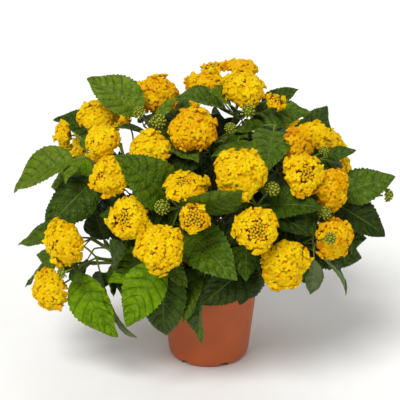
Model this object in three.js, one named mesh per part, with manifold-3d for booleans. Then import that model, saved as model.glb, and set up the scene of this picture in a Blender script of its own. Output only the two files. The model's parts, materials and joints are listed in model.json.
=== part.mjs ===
// A flowering lantana in a round nursery pot: the pot, its potting mix, a short woody stem, the
// boughs that fork from it, and on each bough one spray of twigs, leaves and flower heads.
// Millimetres, +Z up. The origin is the middle of the pot's underside. The fullest side faces -Y.

import * as THREE from 'three';
import { mergeVertices } from 'three/addons/utils/BufferGeometryUtils.js';
import Module from 'manifold-3d';

const wasm = await Module();
wasm.setup();

// Driving dimensions
const GAP = 0.3; // left between pieces that meet
const SPARE = 0.6; // kept around a leaf or a flower head when its place is chosen

const POT = {
  height: 92,
  rimRadius: 52.5,
  rimDepth: 10,
  shoulderRadius: 50,
  cornerRadius: 41.5,
  cornerHeight: 9,
  footRadius: 36,
  wall: 1.8,
  floor: 2.4,
  sides: 20,
};
const DRAIN = { count: 6, radius: 5.5, reach: 9, turn: 0.4, sides: 6 };
const SOIL = { top: 82, collar: 13, edgeDrop: 3, sides: 20 };
const STEM = {
  height: 80,
  radius: 6,
  tipRadius: 4.4,
  flare: 4,
  flareHeight: 7,
  lean: new THREE.Vector3(3, -6, 0),
  sides: 9,
  steps: 8,
};
const BOUGH = { radius: 3.4, tipRadius: 2.5, share: 0.8, crotch: 0.54, rise: 0.16, sides: 5, steps: 3 };
const TWIG = {
  radius: 2.2,
  tipRadius: 1.7,
  start: 0.97, // along the bough, for a spray's first twig
  stagger: 0.03, // of the bough, between a spray's twigs
  sweep: 0.4, // of the twig's length, how far it carries on the bough's way
  internode: 24,
  leafy: 0.96, // of the twig's length, from its tip down
  sides: 4,
  steps: 2,
};
const LEAF = {
  length: 78,
  petiole: 13,
  petioleMost: 0.25, // of the leaf's length
  root: 0.01, // of the leaf's length, sunk in the twig
  halfWidth: 0.3, // of the blade's length
  belly: 0.62, // below 1 the blade is widest nearer its base
  narrowing: 1.1, // above 1 the blade draws in to a point
  thick: 1,
  arch: 0.1,
  fold: 0.22,
  stemRadius: 0.8,
  stations: [0.2, 0.6], // along the blade
  middle: 0.6, // along the leaf, where its facing is taken
  lengths: [0.88, 1.12], // least and greatest share of the length
  leans: [0.85, 1.35], // radians between a twig and the leaves it bears
  turns: [-0.4, 0.4], // radians about the midrib
  swings: [-1.57, 1.57], // radians about the twig, when the first place is taken
  sag: 0.9,
  growth: [0.45, 0.75, 1], // from the shoot's tip down
  tries: 12, // ways a leaf may turn to find room
};
const HEAD = {
  across: 42,
  dome: 0.68, // of the head's radius
  cone: 0.42, // of the head's radius, down to the stalk
  sink: 0.12, // of the head's radius, at the buds in its middle
  lumps: 0.07,
  tiers: [1.5, 0.75], // radians from the head's axis
  lobes: 8,
  stalk: 46,
  stalkRadius: 0.8,
  stalkBend: 0.45, // of the stalk's length, straight under the head
  stalkSunk: 0.5, // of the cone
  stalkSides: 3,
  stalkSteps: 2,
  stalks: [0.85, 1.15], // least and greatest share of the stalk's length
  sizes: [0.85, 1.1], // least and greatest share of the head's width
  hearts: [0, 0.5], // how much of a head is still in bud
  spread: 0.9, // how far a head leans from its twig
  reach: 0.6, // and outward from the crown
  swing: 2, // radians about the twig
  tries: 16, // places tried for the heads that the rule adds
};
const BUD = {
  across: 13,
  tall: 0.75, // of the head's radius, like the three below it
  waist: 0.7,
  lower: -0.3,
  upper: 0.35,
  stalkSunk: 0.5,
  follow: 0.5, // how far a bud head points along its stalk
  sides: 6,
};

const HEART = new THREE.Vector3(0, 0, 150); // the middle of the crown
const SPACE = new THREE.Vector3(182, 165, 128); // half the crown's size each way, for what the rule adds
const LOWEST = 80; // what the rule adds hangs no lower
const LEAF_LIGHT = new THREE.Vector3(0, -0.3, 0.5); // leaves turn to the light on the fullest side
const HEAD_LIGHT = new THREE.Vector3(0, -0.5, 0.1); // and flower heads too
const UP = new THREE.Vector3(0, 0, 1);
const RIGHT = new THREE.Vector3(1, 0, 0);
const SEED = 41;
const SEEDS_A_SPRAY = 16; // more than any spray's shoots

// The fullest side is looked at along +Y, from a little above. Where it is open to the background there:
// left, right, lower and upper edges, in millimetres from the aim
const VIEW = {
  aim: new THREE.Vector3(-9, 0, 167),
  distance: 1300,
  elevation: THREE.MathUtils.degToRad(19.5),
};
const OPENINGS = [
  [-88, -54, 51, 76],
  [-73, -62, 9, 18],
  [-89, -74, 1, 9],
  [-112, -94, -72, -42],
  [5, 22, -22, -8],
  [140, 184, -6, 4],
  [108, 118, -60, -48],
  [2, 14, 93, 101],
  [23, 31, 83, 92],
  [82, 102, 76, 82],
  [10, 20, 37, 44],
  [57, 200, -200, -86],
  [155, 200, -90, -62],
  [158, 200, 42, 100],
  [136, 200, 96, 140],
  [68, 200, 122, 150],
  [190, 200, -60, 0],
  [-58, -37, -200, -112],
  [-200, -40, -200, -140],
  [-169, -130, -200, -113],
  [-200, -170, -200, -90],
  [-200, -164, -30, 0],
  [-200, -152, 54, 150],
  [-152, -116, 96, 150],
  [-82, -60, 128, 150],
];

// What each spray bears. A shoot ends at its tip, and what is listed is what the plant's fullest side
// shows: flower heads and bud heads at their places, and leaves by where their tips reach.
const point = (x, y, z) => new THREE.Vector3(x, y, z);
const bloom = (x, y, z, across, heart = 0, faces = null, dome = HEAD.dome) => {
  return { at: point(x, y, z), across, heart, faces, dome };
};
const bud = (x, y, z, across = BUD.across) => ({ at: point(x, y, z), across });
const leaf = (x, y, z, length, turn = 0) => ({ tip: point(x, y, z), length, turn });
const shoot = (x, y, z, bears = {}) => ({
  tip: point(x, y, z),
  heads: [],
  buds: [],
  leaves: [],
  freeHeads: 0,
  ...bears,
});

const SPRAYS = [
  {
    name: 'left_low',
    level: 16,
    shoots: [
      shoot(-108, -70, 133, {
        heads: [bloom(-136, -88, 155, 43, 0.2)],
        buds: [bud(-138, -97, 129, 11)],
        leaves: [leaf(-75, -75, 47, 95, 0.6)],
      }),
      shoot(-116, -26, 136, {
        leaves: [leaf(-187, -16, 80, 87, 0.7), leaf(-193, -12, 126, 80, 0.6), leaf(-113, -46, 181, 55, 1)],
      }),
      shoot(-132, -68, 127, {
        heads: [bloom(-154, -64, 98, 41, 0, point(-0.7, -0.7, 0))],
        leaves: [leaf(-89, -97, 60, 84, -0.2)],
      }),
    ],
  },
  {
    name: 'left_high',
    level: 50,
    shoots: [
      shoot(-117, -40, 226, {
        heads: [
          bloom(-107, -20, 260, 41, 0, point(-0.2, -0.4, 1), 0.5),
          bloom(-140, -8, 236, 27, 0, point(-0.9, -0.1, -0.1)),
          bloom(-100, -62, 246, 35, 0.1),
          bloom(-93, -86, 220, 37, 0.3),
        ],
        leaves: [leaf(-193, -34, 189, 84), leaf(-159, -65, 157, 83, -0.6), leaf(-160, 5, 181, 62)],
      }),
    ],
  },
  {
    name: 'top_left',
    level: 66,
    shoots: [
      shoot(-56, -45, 259, {
        heads: [bloom(-55, -78, 243, 38), bloom(-50, -5, 277, 41, 0, point(0.2, -0.6, 0.8))],
        buds: [bud(-65, -57, 273, 12), bud(-47, -68, 268, 14)],
        leaves: [leaf(-117, -20, 300, 76), leaf(-31, -46, 285, 35), leaf(-91, -42, 256, 42, 0.6)],
      }),
    ],
  },
  {
    name: 'top',
    level: 78,
    shoots: [
      shoot(26, -8, 256, {
        heads: [
          bloom(30, 26, 296, 38, 0, point(0.1, 0.1, 1), 0.34),
          bloom(3, 22, 296, 20, 0.8),
          bloom(32, -22, 286, 41, 0.1),
          bloom(62, -30, 276, 18, 0.9),
          bloom(-5, 14, 283, 37, 0, point(-0.1, -0.3, 1), 0.45),
        ],
        buds: [bud(36, -52, 273)],
        leaves: [leaf(-32, -45, 286, 72), leaf(99, -14, 262, 73, 0.3), leaf(1, -50, 293, 61, -0.4)],
      }),
      shoot(-5, -42, 238, {
        heads: [bloom(-15, -76, 263, 43)],
        buds: [bud(19, -70, 262, 11)],
        leaves: [leaf(-34, -96, 222, 62)],
      }),
    ],
  },
  {
    name: 'right_high',
    level: 58,
    shoots: [
      shoot(62, -38, 256, {
        heads: [bloom(82, -66, 244, 34, 0.2, point(0.7, -0.65, 0.2))],
        leaves: [leaf(50, -104, 230, 72, 0.2), leaf(1, -84, 240, 77, 0.6)],
      }),
      shoot(103, -52, 226, {
        heads: [
          bloom(102, -30, 243, 36, 0, point(0.2, -0.3, 1), 0.55),
          bloom(84, -106, 229, 37, 0.45),
          bloom(112, -87, 209, 38, 0, point(0.7, -0.7, 0.1)),
        ],
        buds: [bud(106, -70, 240, 10)],
        leaves: [leaf(120, 18, 260, 92, 0.6), leaf(138, -58, 237, 38)],
      }),
    ],
  },
  {
    name: 'right_low',
    level: 30,
    shoots: [
      shoot(98, -85, 148, {
        heads: [bloom(114, -102, 165, 38)],
        buds: [bud(108, -132, 177, 12), bud(105, -104, 191)],
        leaves: [leaf(133, -90, 104, 60, -0.8), leaf(98, -70, 95, 56, -1.6)],
      }),
      shoot(111, -54, 188, {
        buds: [bud(170, -48, 189)],
        leaves: [leaf(170, -62, 152, 70, 0.4), leaf(178, -46, 207, 70), leaf(131, -82, 131, 67)],
      }),
    ],
  },
  {
    name: 'front_high',
    level: 40,
    shoots: [
      shoot(44, -92, 194, {
        heads: [bloom(27, -125, 236, 46), bloom(41, -144, 190, 40, 0.5)],
        buds: [bud(56, -120, 220)],
        leaves: [leaf(91, -125, 178, 55), leaf(12, -112, 160, 60), leaf(101, -120, 203, 64)],
      }),
    ],
  },
  {
    name: 'front_low',
    level: 12,
    shoots: [
      shoot(49, -92, 148, {
        heads: [bloom(68, -126, 150, 46)],
        leaves: [leaf(-9, -122, 106, 74), leaf(29, -84, 89, 62)],
      }),
      shoot(-2, -88, 136, {
        leaves: [leaf(-9, -98, 52, 86, 1.1), leaf(-25, -110, 82, 63, 1)],
      }),
    ],
  },
  {
    name: 'front_left',
    level: 26,
    shoots: [
      shoot(-28, -92, 192, {
        heads: [
          bloom(-74, -112, 189, 40, 0.45),
          bloom(-45, -141, 171, 44, 0.15),
          bloom(-22, -120, 222, 39, 0.4, point(-0.1, -0.35, 1), 0.4),
          bloom(-14, -139, 199, 27, 0.9),
        ],
        buds: [bud(-43, -124, 204, 14)],
        leaves: [
          leaf(-84, -116, 251, 85),
          leaf(-104, -80, 180, 78),
          leaf(24, -142, 141, 75),
          leaf(28, -157, 232, 92, 1.6),
        ],
      }),
      shoot(-40, -93, 148, {
        leaves: [leaf(-79, -118, 82, 80), leaf(-96, -85, 114, 75, 0.2), leaf(-44, -94, 58, 90)],
      }),
    ],
  },
  {
    name: 'back_left',
    level: 36,
    shoots: [
      shoot(-92, 66, 206, { freeHeads: 3, leaves: [leaf(-157, 45, 240, 76, -1.2)] }),
      shoot(-108, 48, 152, { freeHeads: 2 }),
    ],
  },
  {
    name: 'back_low',
    level: 20,
    shoots: [
      shoot(-38, 100, 152, { freeHeads: 3 }),
      shoot(42, 104, 148, { freeHeads: 3 }),
      shoot(4, 84, 122),
    ],
  },
  {
    name: 'back_right',
    level: 46,
    shoots: [
      shoot(92, 70, 202, { freeHeads: 3 }),
      shoot(104, 62, 150, { freeHeads: 2 }),
    ],
  },
  {
    name: 'back_high',
    level: 72,
    shoots: [
      shoot(-30, 66, 232, { freeHeads: 3 }),
      shoot(48, 70, 228, { freeHeads: 3, leaves: [leaf(90, 60, 267, 58, 1.2)] }),
      shoot(6, 90, 206),
    ],
  },
];

// Seeded numbers from 0 to 1
function seeded(seed) {
  let state = seed | 0;
  return () => {
    state = (state + 0x6d2b79f5) | 0;
    let mixed = Math.imul(state ^ (state >>> 15), 1 | state);
    mixed = (mixed + Math.imul(mixed ^ (mixed >>> 7), 61 | mixed)) ^ mixed;
    return ((mixed ^ (mixed >>> 14)) >>> 0) / 4294967296;
  };
}

function between([least, greatest], share) {
  return THREE.MathUtils.lerp(least, greatest, share);
}

// A closed skin from a start point through rings of points to an end point. Seen from the end, each
// ring runs anticlockwise.
function loft(start, rings, end) {
  const sides = rings[0].length;
  const corner = (ring, side) => 1 + ring * sides + (side % sides);
  const last = 1 + rings.length * sides;
  const faces = [];
  for (let side = 0; side < sides; side += 1) {
    faces.push(0, corner(0, side + 1), corner(0, side));
    for (let ring = 0; ring + 1 < rings.length; ring += 1) {
      faces.push(corner(ring, side), corner(ring, side + 1), corner(ring + 1, side + 1));
      faces.push(corner(ring, side), corner(ring + 1, side + 1), corner(ring + 1, side));
    }
    faces.push(last, corner(rings.length - 1, side), corner(rings.length - 1, side + 1));
  }
  const geometry = new THREE.BufferGeometry().setFromPoints([start, ...rings.flat(), end]);
  geometry.setIndex(faces);
  return geometry;
}

function solidOf(geometry) {
  geometry.deleteAttribute('normal');
  geometry.deleteAttribute('uv');
  const merged = mergeVertices(geometry);
  const vertProperties = new Float32Array(merged.getAttribute('position').array);
  const triVerts = new Uint32Array(merged.getIndex().array);
  return new wasm.Manifold(new wasm.Mesh({ numProp: 3, vertProperties, triVerts }));
}

function ring(centre, along, across, radius, sides, phase = 0) {
  const over = along.clone().cross(across);
  return Array.from({ length: sides }, (_, side) => {
    const angle = phase + (side / sides) * 2 * Math.PI;
    return centre
      .clone()
      .addScaledVector(across, radius * Math.cos(angle))
      .addScaledVector(over, radius * Math.sin(angle));
  });
}

// A direction square to the given one
function squareTo(along) {
  const other = Math.abs(along.z) < 0.9 ? UP : RIGHT;
  return other.clone().cross(along).normalize();
}

// The direction square to the plane that a limb's curve bends in
function squareToBend(curve) {
  const first = curve.v1.clone().sub(curve.v0);
  const bend = first.clone().cross(curve.v2.clone().sub(curve.v1));
  return bend.length() > 1e-3 ? bend.normalize() : squareTo(first.normalize());
}

// A tapering limb along part of a curve
function limb(curve, from, to, radiusAt, sides, steps) {
  const across = squareToBend(curve);
  const rings = [];
  for (let step = 0; step <= steps; step += 1) {
    const share = step / steps;
    const place = THREE.MathUtils.lerp(from, to, share);
    const along = curve.getTangent(Math.min(place, 1));
    rings.push(ring(curve.getPoint(place), along, across, radiusAt(share), sides));
  }
  return solidOf(loft(curve.getPoint(from), rings, curve.getPoint(to)));
}

function taper(from, to) {
  return (share) => THREE.MathUtils.lerp(from, to, share);
}

// Leaves and flower heads turn outward from the crown's middle, and leaves also to the light
function outward(place) {
  return place.clone().sub(HEART).normalize();
}

function leafFace(place, along, turn) {
  const wanted = outward(place).add(LEAF_LIGHT);
  const face = wanted.addScaledVector(along, -wanted.dot(along)).normalize();
  return face.applyAxisAngle(along, turn);
}

// How wide an ovate blade is along its length, as a share of its greatest width
function bladeWidth(share) {
  return Math.sin(Math.PI * share ** LEAF.belly) ** LEAF.narrowing;
}

// A leaf from its node on a twig to its tip: a petiole, then a blade that arches and is folded along
// its midrib. The whole leaf, or its blade alone, can be made thicker to keep its place clear.
function leafSolid(node, tip, turn, { bladeOnly = false, spare = 0 } = {}) {
  const length = node.distanceTo(tip);
  const along = tip.clone().sub(node).normalize();
  const face = leafFace(node.clone().lerp(tip, LEAF.middle), along, turn);
  const crest = node.clone().lerp(tip, 0.5).addScaledVector(face, LEAF.arch * length);
  const midrib = new THREE.QuadraticBezierCurve3(node, crest, tip);
  const petiole = Math.min(LEAF.petiole / length, LEAF.petioleMost);
  const section = (place, half, thick) => {
    const centre = midrib.getPoint(place);
    const forward = midrib.getTangent(place);
    const over = face.clone().addScaledVector(forward, -face.dot(forward)).normalize();
    const side = over.clone().cross(forward);
    const raised = centre.clone().addScaledVector(over, LEAF.fold * half);
    const edge = (way) => raised.clone().addScaledVector(side, way * half);
    const middle = (way) => centre.clone().addScaledVector(over, way * thick);
    return [edge(1), middle(1), edge(-1), middle(-1)];
  };
  const blade = LEAF.stations.map((share) => {
    const half = LEAF.halfWidth * length * (1 - petiole) * bladeWidth(share);
    return section(petiole + (1 - petiole) * share, half + spare, LEAF.thick / 2 + spare);
  });
  const stemRadius = LEAF.stemRadius + spare;
  const stalk = [LEAF.root, petiole].map((place) => section(place, stemRadius, stemRadius));
  if (bladeOnly) {
    return solidOf(loft(midrib.getPoint(petiole), blade, tip));
  }
  return solidOf(loft(node, [...stalk, ...blade], tip));
}

// A flower head: a lumpy dome of florets over a shallow cone, sunk in the middle where it is in bud
function headSolid(head, axis, spare = 0) {
  const radius = head.across / 2 + spare;
  const across = squareTo(axis);
  const tier = (angle, level) => {
    const rim = ring(head.at, axis, across, radius * Math.sin(angle), HEAD.lobes);
    return rim.map((place, lobe) => {
      const lump = 1 + ((lobe + level) % 2 ? HEAD.lumps : -HEAD.lumps);
      const spread = place.sub(head.at).multiplyScalar(lump);
      return spread.add(head.at).addScaledVector(axis, radius * head.dome * Math.cos(angle) * lump);
    });
  };
  const foot = head.at.clone().addScaledVector(axis, -HEAD.cone * radius);
  const crownHeight = head.dome - HEAD.sink * head.heart;
  const crown = head.at.clone().addScaledVector(axis, radius * crownHeight);
  return solidOf(loft(foot, HEAD.tiers.map(tier), crown));
}

// A head of green buds: a small pointed knob
function budSolid(head, axis, spare = 0) {
  const radius = head.across / 2 + spare;
  const across = squareTo(axis);
  const lower = head.at.clone().addScaledVector(axis, BUD.lower * radius);
  const upper = head.at.clone().addScaledVector(axis, BUD.upper * radius);
  const rings = [
    ring(lower, axis, across, BUD.waist * radius, BUD.sides),
    ring(upper, axis, across, radius, BUD.sides, Math.PI / BUD.sides),
  ];
  const foot = head.at.clone().addScaledVector(axis, -BUD.tall * radius);
  const crown = head.at.clone().addScaledVector(axis, BUD.tall * radius);
  return solidOf(loft(foot, rings, crown));
}

// The stalk of a flower or bud head, from its node into the head's underside
function stalkSolid(node, at, axis, sunk) {
  const end = at.clone().addScaledVector(axis, -sunk);
  const bend = end.clone().addScaledVector(axis, -HEAD.stalkBend * node.distanceTo(end));
  const curve = new THREE.QuadraticBezierCurve3(node, bend, end);
  return limb(curve, 0, 1, () => HEAD.stalkRadius, HEAD.stalkSides, HEAD.stalkSteps);
}

// What is in place so far. A piece has its whole solid and its core, the part that must stay clear
// even of its own spray.
const inPlace = [];

function boxesMeet(a, b) {
  return [0, 1, 2].every((axis) => a.min[axis] <= b.max[axis] && b.min[axis] <= a.max[axis]);
}

function meets(a, b) {
  return boxesMeet(a.boundingBox(), b.boundingBox()) && !a.intersect(b).isEmpty();
}

function isClear(owner, whole, core) {
  return inPlace.every((other) => {
    if (other.owner !== owner) {
      return !meets(whole, other.whole);
    }
    return !other.core || !meets(core, other.core);
  });
}

function settle(owner, whole, core = null) {
  inPlace.push({ owner, whole, core });
}

// Pot: a thin turned shell with a rim band, an eased bottom corner and drain arches through it
function potSolid() {
  const { height, rimRadius, shoulderRadius, cornerRadius, cornerHeight, footRadius, wall, floor } = POT;
  const shoulder = height - POT.rimDepth;
  const profile = [
    [0, 0],
    [footRadius, 0],
    [cornerRadius, cornerHeight],
    [shoulderRadius, shoulder],
    [rimRadius, shoulder],
    [rimRadius, height],
    [rimRadius - wall, height],
    [shoulderRadius - wall, shoulder],
    [cornerRadius - wall, cornerHeight],
    [footRadius - wall, floor],
    [0, floor],
  ].map(([radius, rise]) => new THREE.Vector2(radius, rise));
  let shell = solidOf(new THREE.LatheGeometry(profile, POT.sides).rotateX(Math.PI / 2));
  for (let index = 0; index < DRAIN.count; index += 1) {
    const arch = new THREE.CylinderGeometry(DRAIN.radius, DRAIN.radius, DRAIN.reach, DRAIN.sides);
    arch.translate(0, -footRadius, 0);
    arch.rotateZ(DRAIN.turn + (index / DRAIN.count) * 2 * Math.PI);
    shell = shell.subtract(solidOf(arch));
  }
  return shell;
}

// Potting mix: fills the pot, with a level collar round the stem and a slight fall to the wall
function soilSolid() {
  const { cornerRadius, cornerHeight, footRadius, shoulderRadius, wall, floor } = POT;
  const shoulder = POT.height - POT.rimDepth;
  const side = (rise) => {
    const share = (rise - cornerHeight) / (shoulder - cornerHeight);
    return THREE.MathUtils.lerp(cornerRadius, shoulderRadius, share) - wall - 2 * GAP;
  };
  const edge = SOIL.top - SOIL.edgeDrop;
  const profile = [
    [0, floor + GAP],
    [footRadius - wall - 2 * GAP, floor + GAP],
    [side(cornerHeight), cornerHeight + GAP],
    [side(edge), edge],
    [SOIL.collar, SOIL.top],
    [0, SOIL.top],
  ].map(([radius, rise]) => new THREE.Vector2(radius, rise));
  return solidOf(new THREE.LatheGeometry(profile, SOIL.sides).rotateX(Math.PI / 2));
}

// Woody stem: from a flat cut on the potting mix, flared at its foot, leaning a little
const stemFoot = point(0, 0, SOIL.top + GAP);
const stemCurve = new THREE.QuadraticBezierCurve3(
  stemFoot,
  stemFoot.clone().addScaledVector(UP, STEM.height / 2),
  stemFoot.clone().addScaledVector(UP, STEM.height).add(STEM.lean),
);

function stemSolid(spare = 0) {
  const width = (share) => {
    const flare = STEM.flare * Math.exp((-share * STEM.height) / STEM.flareHeight);
    return THREE.MathUtils.lerp(STEM.radius, STEM.tipRadius, share) + flare + spare;
  };
  return limb(stemCurve, 0, 1 + spare / STEM.height, width, STEM.sides, STEM.steps);
}

// A bough's curve runs from the stem's middle, rises, and ends where its spray's shoots part
function boughCurve(spray) {
  const start = stemCurve.getPoint(spray.level / STEM.height);
  const reach = new THREE.Vector3();
  spray.shoots.forEach((shootOf) => reach.addScaledVector(shootOf.tip, 1 / spray.shoots.length));
  const crotch = start.clone().lerp(reach, BOUGH.crotch);
  const rise = BOUGH.rise * start.distanceTo(crotch);
  const bend = start.clone().lerp(crotch, 0.5).addScaledVector(UP, rise);
  return new THREE.QuadraticBezierCurve3(start, bend, crotch);
}

// A twig carries on from its bough's end to its shoot's tip
function twigCurve(bough, tip, index) {
  const start = bough.getPoint(TWIG.start - TWIG.stagger * index);
  const bend = start.clone().addScaledVector(bough.getTangent(1), TWIG.sweep * start.distanceTo(tip));
  return new THREE.QuadraticBezierCurve3(start, bend, tip);
}

// Nodes along a twig, from its tip down
function nodesOf(curve) {
  const length = curve.getLength();
  const count = Math.max(2, Math.round(length / TWIG.internode));
  return Array.from({ length: count }, (_, index) => {
    const place = 1 - (index * TWIG.leafy) / count;
    return { at: curve.getPointAt(place), along: curve.getTangentAt(place) };
  });
}

function nearestNode(nodes, place, distance) {
  const miss = (node) => Math.abs(node.at.distanceTo(place) - distance);
  return nodes.reduce((best, node) => (miss(node) < miss(best) ? node : best));
}

// Leaves stand in pairs, each pair square to the next
function pairDirection(node, index, side, phase) {
  const across = squareTo(node.along);
  const angle = phase + index * (Math.PI / 2) + side * Math.PI;
  return across.applyAxisAngle(node.along, angle);
}

function inSpace(place) {
  return place.clone().sub(HEART).divide(SPACE).length() < 1 && place.z > LOWEST;
}

function isOpen(place) {
  const away = place.clone().sub(VIEW.aim).applyAxisAngle(RIGHT, VIEW.elevation);
  const scale = VIEW.distance / (VIEW.distance + away.y);
  const across = away.x * scale;
  const up = away.z * scale;
  return OPENINGS.some(
    ([left, right, lower, upper]) => across > left && across < right && up > lower && up < upper,
  );
}

// True where a corner or the middle of a face would fill an opening
function fillsOpening(solid) {
  const { numProp, vertProperties, triVerts } = solid.getMesh();
  const corner = (index) => new THREE.Vector3().fromArray(vertProperties, index * numProp);
  for (let face = 0; face < triVerts.length; face += 3) {
    const corners = [...triVerts.subarray(face, face + 3)].map(corner);
    const middle = new THREE.Triangle(...corners).getMidpoint(new THREE.Vector3());
    if ([...corners, middle].some(isOpen)) {
      return true;
    }
  }
  return false;
}

function addHead(spray, node, head) {
  const axis = (head.faces ?? outward(head.at).add(HEAD_LIGHT)).clone().normalize();
  const core = headSolid(head, axis, SPARE);
  const coneDepth = (HEAD.cone * head.across) / 2;
  const stalk = stalkSolid(node.at, head.at, axis, HEAD.stalkSunk * coneDepth);
  const whole = headSolid(head, axis).add(stalk);
  if (!isClear(spray.name, core.add(stalk), core)) {
    return false;
  }
  spray.pieces.push(whole);
  settle(spray.name, whole, core);
  return true;
}

function addBud(spray, node, head) {
  const stalkWay = head.at.clone().sub(node.at).normalize();
  const axis = outward(head.at).lerp(stalkWay, BUD.follow).normalize();
  const core = budSolid(head, axis, SPARE);
  const stalk = stalkSolid(node.at, head.at, axis, (BUD.stalkSunk * head.across) / 2);
  const whole = budSolid(head, axis).add(stalk);
  if (!isClear(spray.name, core.add(stalk), core)) {
    return;
  }
  spray.pieces.push(whole);
  settle(spray.name, whole, core);
}

function addLeaf(spray, node, tip, turn) {
  const guard = leafSolid(node.at, tip, turn, { spare: SPARE });
  const core = leafSolid(node.at, tip, turn, { bladeOnly: true, spare: SPARE });
  if (!isClear(spray.name, guard, core)) {
    return false;
  }
  spray.pieces.push(leafSolid(node.at, tip, turn));
  settle(spray.name, guard, core);
  return true;
}

// Flower heads that the rule places: near the shoot's tip, in pairs, outward and up
function addFreeHeads(spray, shootOf, random) {
  let placed = 0;
  for (let attempt = 0; attempt < HEAD.tries && placed < shootOf.freeHeads; attempt += 1) {
    const pair = attempt % 2;
    const node = shootOf.nodes[pair];
    const phase = shootOf.phase + HEAD.swing * random();
    const way = pairDirection(node, pair, placed, phase).multiplyScalar(HEAD.spread);
    way.add(node.along).addScaledVector(outward(node.at), HEAD.reach).normalize();
    const at = node.at.clone().addScaledVector(way, HEAD.stalk * between(HEAD.stalks, random()));
    const across = HEAD.across * between(HEAD.sizes, random());
    const heart = between(HEAD.hearts, random());
    const head = { at, across, heart, faces: null, dome: HEAD.dome };
    if (inSpace(at) && !isOpen(at) && addHead(spray, node, head)) {
      placed += 1;
    }
  }
}

// The way a leaf points from its node, drawn down by its weight
function leafWay(node, index, side, phase, random) {
  const lean = between(LEAF.leans, random());
  const way = pairDirection(node, index, side, phase).multiplyScalar(Math.sin(lean));
  way.addScaledVector(node.along, Math.cos(lean));
  return way.addScaledVector(UP, -LEAF.sag * random()).normalize();
}

// Leaves that the rule places: a pair at every node, smaller towards the tip
function addPairs(spray, shootOf, random) {
  shootOf.nodes.forEach((node, index) => {
    const growth = LEAF.growth[Math.min(index, LEAF.growth.length - 1)];
    for (let side = 0; side < 2; side += 1) {
      const length = (LEAF.length * between(LEAF.lengths, random()) + LEAF.petiole) * growth;
      for (let attempt = 0; attempt < LEAF.tries; attempt += 1) {
        const swing = (attempt / LEAF.tries) * between(LEAF.swings, random());
        const way = leafWay(node, index, side, shootOf.phase + swing, random);
        const tip = node.at.clone().addScaledVector(way, length);
        const turn = between(LEAF.turns, random());
        const fits = inSpace(tip) && !fillsOpening(leafSolid(node.at, tip, turn));
        if (fits && addLeaf(spray, node, tip, turn)) {
          break;
        }
      }
    }
  });
}

// Growth: limbs first, then what is listed, then what the rule adds where there is room
const soil = soilSolid();
const pot = potSolid();
const stem = stemSolid();
const stemGuard = stemSolid(GAP);
settle('pot', pot);
settle('soil', soil);
settle('stem', stem);

SPRAYS.forEach((spray) => {
  const curve = boughCurve(spray);
  const parting = GAP / curve.getLength();
  const boughTaper = taper(BOUGH.radius, BOUGH.tipRadius);
  const leadTaper = taper(BOUGH.tipRadius, TWIG.radius);
  const twigTaper = taper(TWIG.radius, TWIG.tipRadius);
  spray.bough = limb(curve, 0, BOUGH.share, boughTaper, BOUGH.sides, BOUGH.steps).subtract(stemGuard);
  spray.pieces = [limb(curve, BOUGH.share + parting, 1, leadTaper, BOUGH.sides, 1)];
  spray.shoots.forEach((shootOf, index) => {
    const twig = twigCurve(curve, shootOf.tip, index);
    spray.pieces.push(limb(twig, 0, 1, twigTaper, TWIG.sides, TWIG.steps));
    shootOf.nodes = nodesOf(twig);
  });
  settle(`bough ${spray.name}`, spray.bough);
  spray.pieces.forEach((piece) => settle(spray.name, piece));
});

SPRAYS.forEach((spray) => {
  spray.shoots.forEach(({ nodes, heads, buds }) => {
    heads.forEach((head) => addHead(spray, nearestNode(nodes, head.at, HEAD.stalk), head));
    buds.forEach((head) => addBud(spray, nearestNode(nodes, head.at, HEAD.stalk), head));
  });
});

SPRAYS.forEach((spray) => {
  spray.shoots.forEach(({ nodes, leaves }) => {
    leaves.forEach(({ tip, length, turn }) => {
      addLeaf(spray, nearestNode(nodes, tip, length), tip, turn);
    });
  });
});

SPRAYS.forEach((spray, place) => {
  spray.shoots.forEach((shootOf, index) => {
    const random = seeded(SEED + place * SEEDS_A_SPRAY + index);
    shootOf.phase = random() * Math.PI;
    addFreeHeads(spray, shootOf, random);
    addPairs(spray, shootOf, random);
  });
});

// The scene: one named mesh for each piece
const LOOKS = {
  pot: { color: 0xb5643a, roughness: 0.5, metalness: 0 },
  soil: { color: 0x33241a, roughness: 1, metalness: 0 },
  bark: { color: 0x7a6a4a, roughness: 0.9, metalness: 0 },
  foliage: { color: 0x55801f, roughness: 0.6, metalness: 0 },
};

// Loose scraps that a cut or a join leaves are dropped
function largestBody(solid) {
  return solid.decompose().reduce((best, body) => (body.volume() > best.volume() ? body : best));
}

function meshOf(name, solid, look) {
  const { numProp, vertProperties, triVerts } = largestBody(solid).getMesh();
  const geometry = new THREE.BufferGeometry();
  geometry.setAttribute('position', new THREE.BufferAttribute(vertProperties, numProp));
  geometry.setIndex(new THREE.BufferAttribute(triVerts, 1));
  geometry.computeVertexNormals();
  const mesh = new THREE.Mesh(geometry, new THREE.MeshStandardMaterial(LOOKS[look]));
  mesh.name = name;
  return mesh;
}

const plant = new THREE.Group();
plant.add(meshOf('pot', pot, 'pot'));
plant.add(meshOf('potting_mix', soil, 'soil'));
plant.add(meshOf('woody_stem', stem, 'bark'));
SPRAYS.forEach((spray) => {
  plant.add(meshOf(`bough_${spray.name}`, spray.bough, 'bark'));
  plant.add(meshOf(`spray_${spray.name}`, wasm.Manifold.union(spray.pieces), 'foliage'));
});

export default plant;
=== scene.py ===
"""A flowering lantana in a round nursery pot, grown round the frame of its solid model.

Lengths below are in millimetres unless they are said to be metres, +Z up, and the origin is the middle
of the pot's underside. The plant's fullest side faces -Y.
"""

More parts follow.
